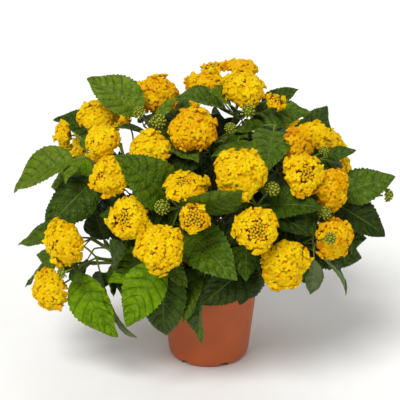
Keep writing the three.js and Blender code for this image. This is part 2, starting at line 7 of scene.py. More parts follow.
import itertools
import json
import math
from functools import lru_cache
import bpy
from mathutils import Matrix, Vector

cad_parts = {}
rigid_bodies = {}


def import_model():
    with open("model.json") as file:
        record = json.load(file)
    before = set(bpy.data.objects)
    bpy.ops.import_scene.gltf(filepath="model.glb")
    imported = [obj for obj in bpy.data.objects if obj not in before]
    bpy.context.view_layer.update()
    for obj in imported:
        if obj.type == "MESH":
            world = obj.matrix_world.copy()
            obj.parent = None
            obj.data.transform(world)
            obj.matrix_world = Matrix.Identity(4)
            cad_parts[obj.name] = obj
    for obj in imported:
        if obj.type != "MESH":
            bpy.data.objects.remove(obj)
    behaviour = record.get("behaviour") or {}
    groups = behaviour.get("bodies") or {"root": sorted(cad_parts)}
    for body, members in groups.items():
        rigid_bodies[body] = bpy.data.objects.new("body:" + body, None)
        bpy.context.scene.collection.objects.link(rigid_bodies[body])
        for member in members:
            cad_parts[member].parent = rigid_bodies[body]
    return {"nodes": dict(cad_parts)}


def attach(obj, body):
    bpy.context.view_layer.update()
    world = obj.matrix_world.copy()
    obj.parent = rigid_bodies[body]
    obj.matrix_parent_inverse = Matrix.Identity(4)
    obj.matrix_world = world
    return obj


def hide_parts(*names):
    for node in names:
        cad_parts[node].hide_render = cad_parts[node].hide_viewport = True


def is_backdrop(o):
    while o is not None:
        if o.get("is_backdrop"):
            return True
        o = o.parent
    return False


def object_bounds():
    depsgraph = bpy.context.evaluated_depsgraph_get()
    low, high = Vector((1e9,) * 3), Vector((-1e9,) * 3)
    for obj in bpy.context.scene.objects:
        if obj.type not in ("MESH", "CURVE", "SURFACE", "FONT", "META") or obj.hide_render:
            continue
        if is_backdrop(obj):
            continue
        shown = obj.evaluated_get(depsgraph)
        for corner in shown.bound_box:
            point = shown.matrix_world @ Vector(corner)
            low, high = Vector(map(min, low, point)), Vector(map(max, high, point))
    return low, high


bl_info = {
    "name": "Potted Lantana",
    "version": (1, 0, 0),
    "blender": (4, 5, 0),
    "location": "View3D > Sidebar > Lantana",
    "description": "Builds a flowering lantana in a nursery pot, and a plain stage for it",
    "category": "Object",
}

from types import SimpleNamespace

import bpy
import numpy as np
from mathutils import Quaternion, Vector, noise
from mathutils.bvhtree import BVHTree
from mathutils.kdtree import KDTree

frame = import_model()
CAD_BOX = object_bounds()

MM = 0.001
FULL_TURN = 2 * math.pi
GOLDEN_ANGLE = math.pi * (3 - math.sqrt(5))
UP = Vector((0, 0, 1))

# Sizes of the pot and the growth rule. Those that place limbs, leaves and heads are the solid model's.
POT = SimpleNamespace(
    height=92, rim_radius=52.5, rim_depth=10, shoulder_radius=50, corner_radius=41.5, corner_height=9,
    foot_radius=36, wall=1.8, floor=2.4,
)
DRAIN = SimpleNamespace(count=6, radius=5.5, reach=9, turn=0.4, sides=40)
SOIL = SimpleNamespace(top=82, collar=13, edge_drop=3, gap=0.3)
STEM = SimpleNamespace(
    height=80, radius=6, tip_radius=4.4, flare=4, flare_height=7,
    foot=Vector((0, 0, 82.3)), lean=Vector((3, -6, 0)),
)
BOUGH = SimpleNamespace(radius=3.4, tip_radius=2.2, crotch=0.54, rise=0.16)
TWIG = SimpleNamespace(
    radius=2.2, tip_radius=1.7, start=0.97, stagger=0.03, sweep=0.4, internode=24, leafy=0.96
)
LEAF = SimpleNamespace(
    length=78, half_width=0.3, arch=0.1, fold=0.22, middle=0.6,
    petiole=13, petiole_radius=0.8, petiole_most=0.25,
    belly=0.66, roundness=0.78, tip_draw=0.3, tip_from=0.76,
    lengths=(0.88, 1.12), leans=(0.85, 1.35), turns=(-0.4, 0.4), swings=(-1.57, 1.57), sag=0.9,
    growth=(0.45, 0.75, 1), tries=12,
)
HEAD = SimpleNamespace(
    across=42, dome=0.68, cone=0.42, sink=0.12,
    stalk=46, stalk_radius=0.9, stalk_bend=0.45, stalk_sunk=0.5,
    stalks=(0.85, 1.15), sizes=(0.85, 1.1), hearts=(0, 0.5), spread=0.9, reach=0.6, swing=2, tries=16,
    older=2,  # which of a shoot's free heads, counted from 0, is golden
)
BUD = SimpleNamespace(across=13, stalk_sunk=0.5, follow=0.5)
CROWN_MIDDLE = Vector((0, 0, 150))
SPACE = Vector((182, 165, 128))  # the crown's half sizes
LOWEST = 80
LEAF_LIGHT = Vector((0, -0.3, 0.5))
HEAD_LIGHT = Vector((0, -0.5, 0.1))
SEED = 41
SEEDS_A_SPRAY = 16
CURVE_STEPS = 201
STEEP = 0.9  # a way that rises more than this is squared against +X
CORNER_MISS = 0.1  # how near a corner of the solid stands to a leaf's tip or a head's crown

# How far out in the crown each tone of the rule's leaves ends: painted shade, darkest inside the crown,
# gives way to painted light towards its outside
TONE_ENDS = (("dark", 0.55), ("deep", 0.8), ("mid", 0.98), ("fresh", math.inf))
TONE_SPREAD = 0.3

# The finer growth that the rule is carried on to
FINE = SimpleNamespace(
    seed=900, axil_twig=(12, 26), axil_lean=(0.6, 1.1), axil_turn=math.pi / 4, axil_bend=0.5,
    axil_leaf=(26, 48), tip_leaf=(14, 24), tip_lean=(0.35, 0.7), shade_seed=950, shade_leaf=(42, 64),
    bough_shares=(0.45, 0.6, 0.75, 0.9), twig_shares=(0.1, 0.25, 0.4, 0.55, 0.7),
    twig_radius=1.1, twig_tip_radius=0.8, sag=0.45, tries=6, spare=0.7,
    reach=0.93,  # of the crown's space
    covers_most=0.12,  # of a leaf's points, that may stand before what the fullest side shows
)

# The picture's frame, for the camera and for where the crown is open. The view is along +Y.
VIEW = SimpleNamespace(
    aim=Vector((-9, 0, 167)), distance=1300, elevation=math.radians(19.5), lens=117.0, sensor=36.0
)
EYE = VIEW.aim + Vector((0, -math.cos(VIEW.elevation), math.sin(VIEW.elevation))) * VIEW.distance

# Where the crown lets the background through: left, right, lower and upper edges, from the aim
OPENINGS = [
    (-88, -54, 51, 76), (-73, -62, 9, 18), (-89, -74, 1, 9), (-112, -94, -72, -42), (5, 22, -22, -8),
    (140, 184, -6, 4), (108, 118, -60, -48), (2, 14, 93, 101), (23, 31, 83, 92), (82, 102, 76, 82),
    (10, 20, 37, 44), (57, 200, -200, -86), (155, 200, -90, -62), (158, 200, 42, 100),
    (136, 200, 96, 140), (68, 200, 122, 150), (190, 200, -60, 0), (-58, -37, -200, -112),
    (-200, -40, -200, -140), (-169, -130, -200, -113), (-200, -170, -200, -90), (-200, -164, -30, 0),
    (-200, -152, 54, 150), (-152, -116, 96, 150), (-82, -60, 128, 150),
]


# What each spray bears on the plant's fullest side. Free heads are placed by the rule.


def bloom(x, y, z, across, heart=0.0, faces=None, age="yellow", dome=HEAD.dome):
    return SimpleNamespace(
        kind="head", at=Vector((x, y, z)), across=across, heart=heart, faces=faces, age=age, dome=dome
    )


def bud(x, y, z, across=BUD.across):
    return SimpleNamespace(kind="bud", at=Vector((x, y, z)), across=across)


# A leaf's tone is its green with painted light or painted shade, as it stands lit or shaded in the crown
def leaf(x, y, z, length, turn=0.0, tone="deep"):
    return SimpleNamespace(kind="leaf", at=Vector((x, y, z)), length=length, turn=turn, tone=tone)


def shoot(x, y, z, *borne, free_heads=0):
    return SimpleNamespace(tip=Vector((x, y, z)), borne=borne, free_heads=free_heads)


def spray(name, level, *shoots):
    return SimpleNamespace(name=name, level=level, shoots=shoots)


SPRAYS = [
    spray(
        "left_low", 16,
        shoot(
            -108, -70, 133,
            bloom(-136, -88, 155, 43, 0.2), bud(-138, -97, 129, 11), leaf(-75, -75, 47, 95, 0.6),
        ),
        shoot(
            -116, -26, 136,
            leaf(-187, -16, 80, 87, 0.7), leaf(-193, -12, 126, 80, 0.6, "mid"),
            leaf(-113, -46, 181, 55, 1, "dark"),
        ),
        shoot(
            -132, -68, 127,
            bloom(-154, -64, 98, 41, 0, (-0.7, -0.7, 0)), leaf(-89, -97, 60, 84, -0.2, "bright"),
        ),
    ),
    spray(
        "left_high", 50,
        shoot(
            -117, -40, 226,
            bloom(-107, -20, 260, 41, 0, (-0.2, -0.4, 1), "yellow", 0.5),
            bloom(-140, -8, 236, 27, 0, (-0.9, -0.1, -0.1)),
            bloom(-100, -62, 246, 35, 0.1), bloom(-93, -86, 220, 37, 0.3),
            leaf(-193, -34, 189, 84, 0, "fresh"), leaf(-159, -65, 157, 83, -0.6),
            leaf(-160, 5, 181, 62, 0, "bright"),
        ),
    ),
    spray(
        "top_left", 66,
        shoot(
            -56, -45, 259,
            bloom(-55, -78, 243, 38), bloom(-50, -5, 277, 41, 0, (0.2, -0.6, 0.8), "golden"),
            bud(-65, -57, 273, 12), bud(-47, -68, 268, 14), leaf(-117, -20, 300, 76, 0, "fresh"),
            leaf(-31, -46, 285, 35, 0, "fresh"), leaf(-91, -42, 256, 42, 0.6, "mid"),
        ),
    ),
    spray(
        "top", 78,
        shoot(
            26, -8, 256,
            bloom(30, 26, 296, 38, 0, (0.1, 0.1, 1), "golden", 0.34),
            bloom(3, 22, 296, 20, 0.8), bloom(32, -22, 286, 41, 0.1), bloom(62, -30, 276, 18, 0.9),
            bloom(-5, 14, 283, 37, 0, (-0.1, -0.3, 1), "golden", 0.45), bud(36, -52, 273),
            leaf(-32, -45, 286, 72, 0, "mid"), leaf(99, -14, 262, 73, 0.3, "mid"),
            leaf(1, -50, 293, 61, -0.4, "fresh"),
        ),
        shoot(
            -5, -42, 238,
            bloom(-15, -76, 263, 43, 0, None, "golden"), bud(19, -70, 262, 11),
            leaf(-34, -96, 222, 62, 0, "dark"),
        ),
    ),
    spray(
        "right_high", 58,
        shoot(
            62, -38, 256,
            bloom(82, -66, 244, 34, 0.2, (0.7, -0.65, 0.2), "golden"),
            leaf(50, -104, 230, 72, 0.2, "mid"), leaf(1, -84, 240, 77, 0.6, "fresh"),
        ),
        shoot(
            103, -52, 226,
            bloom(102, -30, 243, 36, 0, (0.2, -0.3, 1), "yellow", 0.55), bloom(84, -106, 229, 37, 0.45),
            bloom(112, -87, 209, 38, 0, (0.7, -0.7, 0.1), "golden"), bud(106, -70, 240, 10),
            leaf(120, 18, 260, 92, 0.6), leaf(138, -58, 237, 38),
        ),
    ),
    spray(
        "right_low", 30,
        shoot(
            98, -85, 148,
            bloom(114, -102, 165, 38, 0, None, "golden"), bud(108, -132, 177, 12), bud(105, -104, 191),
            leaf(133, -90, 104, 60, -0.8), leaf(98, -70, 95, 56, -1.6, "pale"),
        ),
        shoot(
            111, -54, 188,
            bud(170, -48, 189), leaf(170, -62, 152, 70, 0.4, "dark"),
            leaf(178, -46, 207, 70, 0, "mid"), leaf(131, -82, 131, 67),
        ),
    ),
    spray(
        "front_high", 40,
        shoot(
            44, -92, 194,
            bloom(27, -125, 236, 46), bloom(41, -144, 190, 40, 0.5), bud(56, -120, 220),
            leaf(91, -125, 178, 55, 0, "dark"), leaf(12, -112, 160, 60, 0, "dark"),
            leaf(101, -120, 203, 64),
        ),
    ),
    spray(
        "front_low", 12,
        shoot(
            49, -92, 148,
            bloom(68, -126, 150, 46),
            leaf(-9, -122, 106, 74, 0, "dark"), leaf(29, -84, 89, 62, 0, "dark"),
        ),
        shoot(-2, -88, 136, leaf(-9, -98, 52, 86, 1.1, "mid"), leaf(-25, -110, 82, 63, 1, "mid")),
    ),
    spray(
        "front_left", 26,
        shoot(
            -28, -92, 192,
            bloom(-74, -112, 189, 40, 0.45), bloom(-45, -141, 171, 44, 0.15),
            bloom(-22, -120, 222, 39, 0.4, (-0.1, -0.35, 1), "yellow", 0.4),
            bloom(-14, -139, 199, 27, 0.9), bud(-43, -124, 204, 14),
            leaf(-84, -116, 251, 85, 0, "mid"), leaf(-104, -80, 180, 78),
            leaf(24, -142, 141, 75, 0, "mid"), leaf(28, -157, 232, 92, 1.6, "mid"),
        ),
        shoot(
            -40, -93, 148,
            leaf(-79, -118, 82, 80, 0, "bright"), leaf(-96, -85, 114, 75, 0.2, "bright"),
            leaf(-44, -94, 58, 90),
        ),
    ),
    spray(
        "back_left", 36,
        shoot(-92, 66, 206, leaf(-157, 45, 240, 76, -1.2), free_heads=3),
        shoot(-108, 48, 152, free_heads=2),
    ),
    spray(
        "back_low", 20,
        shoot(-38, 100, 152, free_heads=3), shoot(42, 104, 148, free_heads=3), shoot(4, 84, 122),
    ),
    spray("back_right", 46, shoot(92, 70, 202, free_heads=3), shoot(104, 62, 150, free_heads=2)),
    spray(
        "back_high", 72,
        shoot(-30, 66, 232, free_heads=3), shoot(48, 70, 228, leaf(90, 60, 267, 58, 1.2), free_heads=3),
        shoot(6, 90, 206),
    ),
]

# Sprays that are joined into one mesh of leaves, one of stalks and one of flower heads
SIDES = {
    "left": ("left_low", "left_high", "top_left"),
    "front": ("front_high", "front_low", "front_left"),
    "right": ("right_high", "right_low", "top"),
    "back_low": ("back_left", "back_low"),
    "back_high": ("back_right", "back_high"),
}


# Growth rule


def seeded(seed):
    """Seeded numbers from 0 to 1, the same run of them as in the solid model."""
    mask = 0xFFFFFFFF
    state = seed

    def draw():
        nonlocal state
        state = (state + 0x6D2B79F5) & mask
        mixed = ((state ^ (state >> 15)) * (1 | state)) & mask
        stirred = ((mixed ^ (mixed >> 7)) * (61 | mixed)) & mask
        mixed = ((mixed + stirred) & mask) ^ mixed
        return (mixed ^ (mixed >> 14)) / (mask + 1)

    return draw


def between(ends, share):
    return ends[0] + (ends[1] - ends[0]) * share


class Bend:
    """A limb's or a stalk's curve: from a start, past a bend, to an end."""

    def __init__(self, start, bend, end):
        self.start = start
        self.bend = bend
        self.end = end
        self.shares = np.linspace(0, 1, CURVE_STEPS)
        points = np.array([self.point(share) for share in self.shares.tolist()])
        steps = np.linalg.norm(np.diff(points, axis=0), axis=1)
        self.run = np.concatenate([[0], np.cumsum(steps)])
        self.length = float(self.run[-1])

    def point(self, share):
        rest = 1 - share
        return rest * rest * self.start + 2 * rest * share * self.bend + share * share * self.end

    def way(self, share):
        first = self.bend - self.start
        second = self.end - self.bend
        return ((1 - share) * first + share * second).normalized()

    def share_at(self, part):
        """The curve's own share at a part of its length."""
        return float(np.interp(part * self.length, self.run, self.shares))


def square_to(along):
    other = UP if abs(along.z) < STEEP else Vector((1, 0, 0))
    return other.cross(along).normalized()


def outward(place):
    return (place - CROWN_MIDDLE).normalized()


def pair_direction(node, index, side, phase):
    """Leaves stand in pairs, each pair square to the next."""
    angle = phase + index * (math.pi / 2) + side * math.pi
    return Quaternion(node.along, angle) @ square_to(node.along)


def leaning(node, index, side, phase, lean):
    """The way of one of a pair, that leans out from its limb by an angle."""
    return pair_direction(node, index, side, phase) * math.sin(lean) + node.along * math.cos(lean)


def ways_out(node, index, side, phase, rule, leans, random):
    """Ways for one of a pair of leaves, each swung further about than the last, with the leaf's turn."""
    for attempt in range(rule.tries):
        swing = attempt / rule.tries * between(LEAF.swings, random())
        way = leaning(node, index, side, phase + swing, between(leans, random()))
        way = (way - UP * (rule.sag * random())).normalized()
        yield way, between(LEAF.turns, random())


def crown_share(place):
    """From 0 in the crown's middle to about 1 at its outside."""
    away = place - CROWN_MIDDLE
    return Vector((away.x / SPACE.x, away.y / SPACE.y, away.z / SPACE.z)).length


def in_space(place, reach=1.0):
    return crown_share(place) < reach and place.z > LOWEST


def nodes_of(curve):
    """Where a twig's leaves stand, from its tip down, each with its part of the twig's length."""
    count = max(2, round(curve.length / TWIG.internode))
    nodes = []
    for index in range(count):
        part = 1 - index * TWIG.leafy / count
        share = curve.share_at(part)
        nodes.append(SimpleNamespace(at=curve.point(share), along=curve.way(share), part=part))
    return nodes


def nearest_node(nodes, place, distance):
    return min(nodes, key=lambda node: abs((node.at - place).length - distance))


@lru_cache(maxsize=None)
def solid_corners(name):
    mesh = frame["nodes"][name].data
    tree = KDTree(len(mesh.vertices))
    for index, corner in enumerate(mesh.vertices):
        tree.insert(corner.co / MM, index)
    tree.balance()
    return tree


def stands(spray_name, place):
    """True where the spray's solid has a corner, so that the growth agrees with the solid model."""
    _, _, miss = solid_corners("spray_" + spray_name).find(place)
    return miss < CORNER_MISS


def leaf_face(place, along, turn):
    wanted = outward(place) + LEAF_LIGHT
    face = (wanted - along * wanted.dot(along)).normalized()
    return Quaternion(along, turn) @ face


def grown_leaf(node, tip, turn, tone, seed):
    along = (tip - node.at).normalized()
    face = leaf_face(node.at.lerp(tip, LEAF.middle), along, turn)
    length = (tip - node.at).length
    return SimpleNamespace(node=node.at, tip=tip, face=face, tone=tone, length=length, seed=seed)


def stalk_to(node, end, axis):
    return Bend(node.at, end - axis * (HEAD.stalk_bend * (end - node.at).length), end)


def grown_head(node, head):
    axis = Vector(head.faces) if head.faces else outward(head.at) + HEAD_LIGHT
    axis.normalize()
    end = head.at - axis * (HEAD.stalk_sunk * HEAD.cone * head.across / 2)
    crown = head.at + axis * (head.across / 2) * (head.dome - HEAD.sink * head.heart)
    return SimpleNamespace(**vars(head), axis=axis, crown=crown, stalk=stalk_to(node, end, axis))


def grown_bud(node, head):
    axis = outward(head.at).lerp((head.at - node.at).normalized(), BUD.follow).normalized()
    end = head.at - axis * (BUD.stalk_sunk * head.across / 2)
    return SimpleNamespace(**vars(head), axis=axis, stalk=stalk_to(node, end, axis))


def rule_tone(place, share):
    """Leaves are painted dark inside the crown and lighter towards its outside, as painted shade and
    painted light.
    """
    depth = crown_share(place) + TONE_SPREAD * (share - 0.5)
    return next(tone for tone, end in TONE_ENDS if depth < end)


def add_listed(plant, spray_of, shoot_of):
    for thing in shoot_of.borne:
        distance = thing.length if thing.kind == "leaf" else HEAD.stalk
        node = nearest_node(shoot_of.nodes, thing.at, distance)
        if thing.kind == "head":
            plant.heads.append(grown_head(node, thing))
        elif thing.kind == "bud":
            plant.buds.append(grown_bud(node, thing))
        elif stands(spray_of.name, thing.at):
            plant.leaves.append(grown_leaf(node, thing.at, thing.turn, thing.tone, len(plant.leaves)))


def add_free_heads(plant, spray_of, shoot_of, random):
    placed = 0
    for attempt in range(HEAD.tries):
        if placed == shoot_of.free_heads:
            break
        pair = attempt % 2
        node = shoot_of.nodes[pair]
        phase = shoot_of.phase + HEAD.swing * random()
        way = pair_direction(node, pair, placed, phase) * HEAD.spread
        way = (way + node.along + outward(node.at) * HEAD.reach).normalized()
        at = node.at + way * (HEAD.stalk * between(HEAD.stalks, random()))
        across = HEAD.across * between(HEAD.sizes, random())
        heart = between(HEAD.hearts, random())
        age = "golden" if placed == HEAD.older else "yellow"
        head = grown_head(node, bloom(*at, across, heart, None, age))
        if in_space(at) and stands(spray_of.name, head.crown):
            plant.heads.append(head)
            placed += 1


def add_pairs(plant, spray_of, shoot_of, random):
    for index, node in enumerate(shoot_of.nodes):
        growth = LEAF.growth[min(index, len(LEAF.growth) - 1)]
        for side in range(2):
            length = (LEAF.length * between(LEAF.lengths, random()) + LEAF.petiole) * growth
            for way, turn in ways_out(node, index, side, shoot_of.phase, LEAF, LEAF.leans, random):
                tip = node.at + way * length
                if in_space(tip) and stands(spray_of.name, tip):
                    tone = rule_tone(node.at.lerp(tip, LEAF.middle), length % 1)
                    plant.leaves.append(grown_leaf(node, tip, turn, tone, len(plant.leaves)))
                    break


def grown_spray(spray_of, stem, seed):
    """A spray as in the solid model: its bough, its twigs, and what they bear."""
    plant = SimpleNamespace(leaves=[], heads=[], buds=[], twigs=[])
    start = stem.point(spray_of.level / STEM.height)
    reach = sum((shoot_of.tip for shoot_of in spray_of.shoots), Vector()) / len(spray_of.shoots)
    crotch = start.lerp(reach, BOUGH.crotch)
    rise = UP * (BOUGH.rise * (crotch - start).length)
    plant.bough = Bend(start, start.lerp(crotch, 0.5) + rise, crotch)
    for index, shoot_of in enumerate(spray_of.shoots):
        root = plant.bough.point(TWIG.start - TWIG.stagger * index)
        sweep = plant.bough.way(1) * (TWIG.sweep * (shoot_of.tip - root).length)
        twig = Bend(root, root + sweep, shoot_of.tip)
        shoot_of.nodes = nodes_of(twig)
        joints = [node.part for node in shoot_of.nodes]
        plant.twigs.append((twig, TWIG.radius, TWIG.tip_radius, joints))
        add_listed(plant, spray_of, shoot_of)
    for index, shoot_of in enumerate(spray_of.shoots):
        random = seeded(seed + index)
        shoot_of.phase = random() * math.pi
        add_free_heads(plant, spray_of, shoot_of, random)
        add_pairs(plant, spray_of, shoot_of, random)
    return plant


# Leaf blades as grids of points


def blade_width(share):
    """An ovate outline, widest below its middle, with a drawn-out tip."""
    share = np.clip(share, 0, 1)
    drawn_out = 1 - LEAF.tip_draw * np.clip((share - LEAF.tip_from) / (1 - LEAF.tip_from), 0, 1)
    return np.sin(math.pi * share**LEAF.belly) ** LEAF.roundness * drawn_out


def unit_rows(vectors):
    return vectors / np.linalg.norm(vectors, axis=-1, keepdims=True)


def petiole_share(grown):
    return min(LEAF.petiole / grown.length, LEAF.petiole_most)


def size_share(grown):
    """1 for a full leaf, and less for a smaller one."""
    return min(1, grown.length / LEAF.length)


def blade_points(grown, share, across, lift):
    """Points of a leaf at shares along its blade, widths across it and heights over it."""
    node = np.array(grown.node)
    tip = np.array(grown.tip)
    face = np.array(grown.face)
    crest = (node + tip) / 2 + face * LEAF.arch * grown.length
    petiole = petiole_share(grown)
    place = (petiole + (1 - petiole) * share)[..., None]
    rest = 1 - place
    centre = rest * rest * node + 2 * rest * place * crest + place * place * tip
    forward = unit_rows(rest * (crest - node) + place * (tip - crest))
    over = unit_rows(face - forward * (forward @ face)[..., None])
    side = np.cross(over, forward)
    return centre + side * across[..., None] + over * lift[..., None]


def half_width(grown, share):
    return LEAF.half_width * grown.length * (1 - petiole_share(grown)) * blade_width(share)


@lru_cache(maxsize=None)
def loft_faces(rings, sides, turned=0):
    """Triangles of a closed skin from a point through rings to a point, with each one's band and side.

    Each four-cornered face is cut from corner to corner, and on the last sides, the turned ones, the
    other way.
    """
    side = np.arange(sides)
    after = (side + 1) % sides
    is_turned = side >= sides - turned
    far = np.where(is_turned, side, after)
    near = np.where(is_turned, after, side)
    last = 1 + rings * sides
    faces = [np.stack([np.zeros(sides, int), 1 + after, 1 + side], axis=1)]
    bands = [0]
    for ring in range(rings - 1):
        here = 1 + ring * sides
        ahead = here + sides
        faces.append(np.stack([here + side, here + after, ahead + far], axis=1))
        faces.append(np.stack([here + near, ahead + after, ahead + side], axis=1))
        bands.extend([ring + 1, ring + 1])
    top = last - sides
    faces.append(np.stack([np.full(sides, last), top + side, top + after], axis=1))
    bands.append(rings)
    return np.concatenate(faces), np.repeat(bands, sides), np.tile(side, len(bands))


def loft_points(start, rings, end):
    """Seen from the end, each ring runs anticlockwise."""
    flat = np.asarray(rings, float).reshape(-1, 3)
    return np.concatenate([[start], flat, [end]])


GUARD_SHARES = np.array([0.12, 0.35, 0.6, 0.85])
GUARD_SIDES = np.array([1, 0, -1, 0])  # one edge, the upper side, the other edge and the underside
GUARD_LIFTS = np.array([0, 1, 0, -1])


def leaf_guard(grown, spare):
    """A plain leaf, thicker than the real one, that keeps a place clear."""
    share = np.repeat(GUARD_SHARES[:, None], len(GUARD_SIDES), axis=1)
    half = half_width(grown, share) + spare
    lift = LEAF.fold * half * np.abs(GUARD_SIDES) + spare * GUARD_LIFTS
    rings = blade_points(grown, share, half * GUARD_SIDES, lift)
    ends = blade_points(grown, np.array([0.0, 1.0]), np.zeros(2), np.zeros(2))
    return loft_points(ends[0], rings, ends[1]), loft_faces(len(GUARD_SHARES), len(GUARD_SIDES))[0]


# Finer growth


def solid_arrays(mesh):
    """A solid's corners, in millimetres, and its triangles."""
    corners = np.empty(len(mesh.vertices) * 3)
    mesh.vertices.foreach_get("co", corners)
    mesh.calc_loop_triangles()
    triangles = np.empty(len(mesh.loop_triangles) * 3, int)
    mesh.loop_triangles.foreach_get("vertices", triangles)
    return corners.reshape(-1, 3) / MM, triangles.reshape(-1, 3)


def fills_opening(points):
    """True if a point of a leaf would stand in one of the crown's openings."""
    sine = math.sin(VIEW.elevation)
    cosine = math.cos(VIEW.elevation)
    away = points - np.array(VIEW.aim)
    scale = VIEW.distance / (VIEW.distance + cosine * away[:, 1] - sine * away[:, 2])
    across = away[:, 0] * scale
    up = (sine * away[:, 1] + cosine * away[:, 2]) * scale
    for left, right, lower, upper in OPENINGS:
        inside = (across > left) & (across < right) & (up > lower) & (up < upper)
        if inside.any():
            return True
    return False


class Crowd:
    """What stands in the crown, so that an added leaf finds room and hides nothing that should show."""

    def __init__(self):
        self.taken = []
        points = []
        faces = []
        count = 0
        for solid in frame["nodes"].values():
            corners, triangles = solid_arrays(solid.data)
            self.take(corners, triangles)
            points.append(corners)
            faces.append(triangles + count)
            count += len(corners)
        points = np.concatenate(points)
        self.solids = BVHTree.FromPolygons(points.tolist(), np.concatenate(faces).tolist())

    def take(self, points, faces):
        tree = BVHTree.FromPolygons(points.tolist(), faces.tolist())
        self.taken.append((points.min(axis=0), points.max(axis=0), tree))

    def has_room(self, points, faces):
        low = points.min(axis=0)
        high = points.max(axis=0)
        tree = BVHTree.FromPolygons(points.tolist(), faces.tolist())
        for other_low, other_high, other in self.taken:
            if np.all(low <= other_high) and np.all(other_low <= high) and tree.overlap(other):
                return False
        return True

    def hides(self, points):
        """The share of the leaf's points that stand before a solid and behind none."""
        before = 0
        for place in points:
            sight = Vector(place) - EYE
            hit, _, _, distance = self.solids.ray_cast(EYE, sight.normalized())
            if hit is not None and distance > sight.length:
                before += 1
        return before / len(points)


SAMPLE_SHARES, SAMPLE_SIDES = np.meshgrid(np.linspace(0.1, 0.98, 7), np.linspace(-0.9, 0.9, 5))


def fine_leaf(plant, crowd, node, way, length, turn, tone_share):
    """Adds a leaf of the finer growth, if it finds room. The node is where its petiole starts."""
    tip = node.at + way * length
    if not in_space(tip, FINE.reach):
        return False
    tone = rule_tone(node.at.lerp(tip, LEAF.middle), tone_share)
    grown = grown_leaf(node, tip, turn, tone, len(plant.leaves))
    share = SAMPLE_SHARES.ravel()
    across = half_width(grown, share) * SAMPLE_SIDES.ravel()
    points = blade_points(grown, share, across, np.zeros(len(share)))
    if fills_opening(points):
        return False
    guard, faces = leaf_guard(grown, FINE.spare)
    if not crowd.has_room(guard, faces) or crowd.hides(points) > FINE.covers_most:
        return False
    plant.leaves.append(grown)
    crowd.take(guard, faces)
    return True


def fine_pair(plant, crowd, node, phase, lengths, leans, random):
    """A pair of leaves at a node, each turned about until it finds room. Gives how many did."""
    found = 0
    for side in range(2):
        length = between(lengths, random())
        for way, turn in ways_out(node, 0, side, phase, FINE, leans, random):
            if fine_leaf(plant, crowd, node, way, length, turn, random()):
                found += 1
                break
    return found


def add_axil_twigs(plant, crowd, shoot_of, random):
    """Short twigs from the leaf axils, each with a pair of smaller leaves and a pair at its tip."""
    for index, node in enumerate(shoot_of.nodes[1:]):
        for side in range(2):
            lean = between(FINE.axil_lean, random())
            way = leaning(node, index, side, shoot_of.phase + FINE.axil_turn, lean)
            reach = between(FINE.axil_twig, random())
            bend = node.at + (way + node.along).normalized() * reach * FINE.axil_bend
            twig = Bend(node.at, bend, node.at + way * reach)
            end = SimpleNamespace(at=twig.end, along=twig.way(1))
            phase = random() * math.pi
            if fine_pair(plant, crowd, end, phase, FINE.axil_leaf, LEAF.leans, random):
                plant.twigs.append((twig, FINE.twig_radius, FINE.twig_tip_radius, ()))
                fine_pair(plant, crowd, end, phase + math.pi / 2, FINE.tip_leaf, FINE.tip_lean, random)


def add_shade_leaves(plant, crowd, limb, shares, random):
    """Leaves in pairs along a limb, in the crown's shade."""
    for share in shares:
        node = SimpleNamespace(at=limb.point(share), along=limb.way(share))
        fine_pair(plant, crowd, node, random() * math.pi, FINE.shade_leaf, LEAF.leans, random)


@lru_cache(maxsize=None)
def grown_plant():
    """The stem, and each spray's limbs, leaves, flower heads and bud heads."""
    stem_bend = STEM.foot + UP * (STEM.height / 2)
    stem = Bend(STEM.foot, stem_bend, STEM.foot + UP * STEM.height + STEM.lean)
    grown = {}
    for place, spray_of in enumerate(SPRAYS):
        grown[spray_of.name] = grown_spray(spray_of, stem, SEED + place * SEEDS_A_SPRAY)
    crowd = Crowd()
    for place, spray_of in enumerate(SPRAYS):
        plant = grown[spray_of.name]
        random = seeded(FINE.seed + place)
        for shoot_of in spray_of.shoots:
            tip = SimpleNamespace(at=shoot_of.tip, along=shoot_of.nodes[0].along)
            fine_pair(plant, crowd, tip, shoot_of.phase, FINE.tip_leaf, FINE.tip_lean, random)
            add_axil_twigs(plant, crowd, shoot_of, random)
        add_shade_leaves(plant, crowd, plant.bough, FINE.bough_shares, random)
    for place, spray_of in enumerate(SPRAYS):
        plant = grown[spray_of.name]
        random = seeded(FINE.shade_seed + place)
        for limb, _, _, _ in plant.twigs[: len(spray_of.shoots)]:
            add_shade_leaves(plant, crowd, limb, FINE.twig_shares, random)
    return SimpleNamespace(stem=stem, sprays=grown)


# Meshes from arrays


class Pile:
    """Closed skins gathered for one mesh, each face with the number of its finish."""

    def __init__(self):
        self.points = []
        self.faces = []
        self.finishes = []
        self.count = 0

    def add(self, points, faces, finishes=0):
        self.points.append(points)
        self.faces.append(faces + self.count)
        self.finishes.append(np.broadcast_to(finishes, len(faces)))
        self.count += len(points)

    def add_copies(self, points, faces, finishes, frames, places):
        """The same skin at many places. A frame's columns are the skin's turned and sized axes."""
        moved = np.einsum("nij,pj->npi", frames, points) + places[:, None]
        shifts = np.arange(len(places)) * len(points)
        copied = faces[None] + shifts[:, None, None]
        self.add(moved.reshape(-1, 3), copied.reshape(-1, 3), finishes.reshape(-1))


SHARPEST = math.radians(65)  # a steeper edge is shaded as an edge
SHARPEST_MOULDED = math.radians(40)


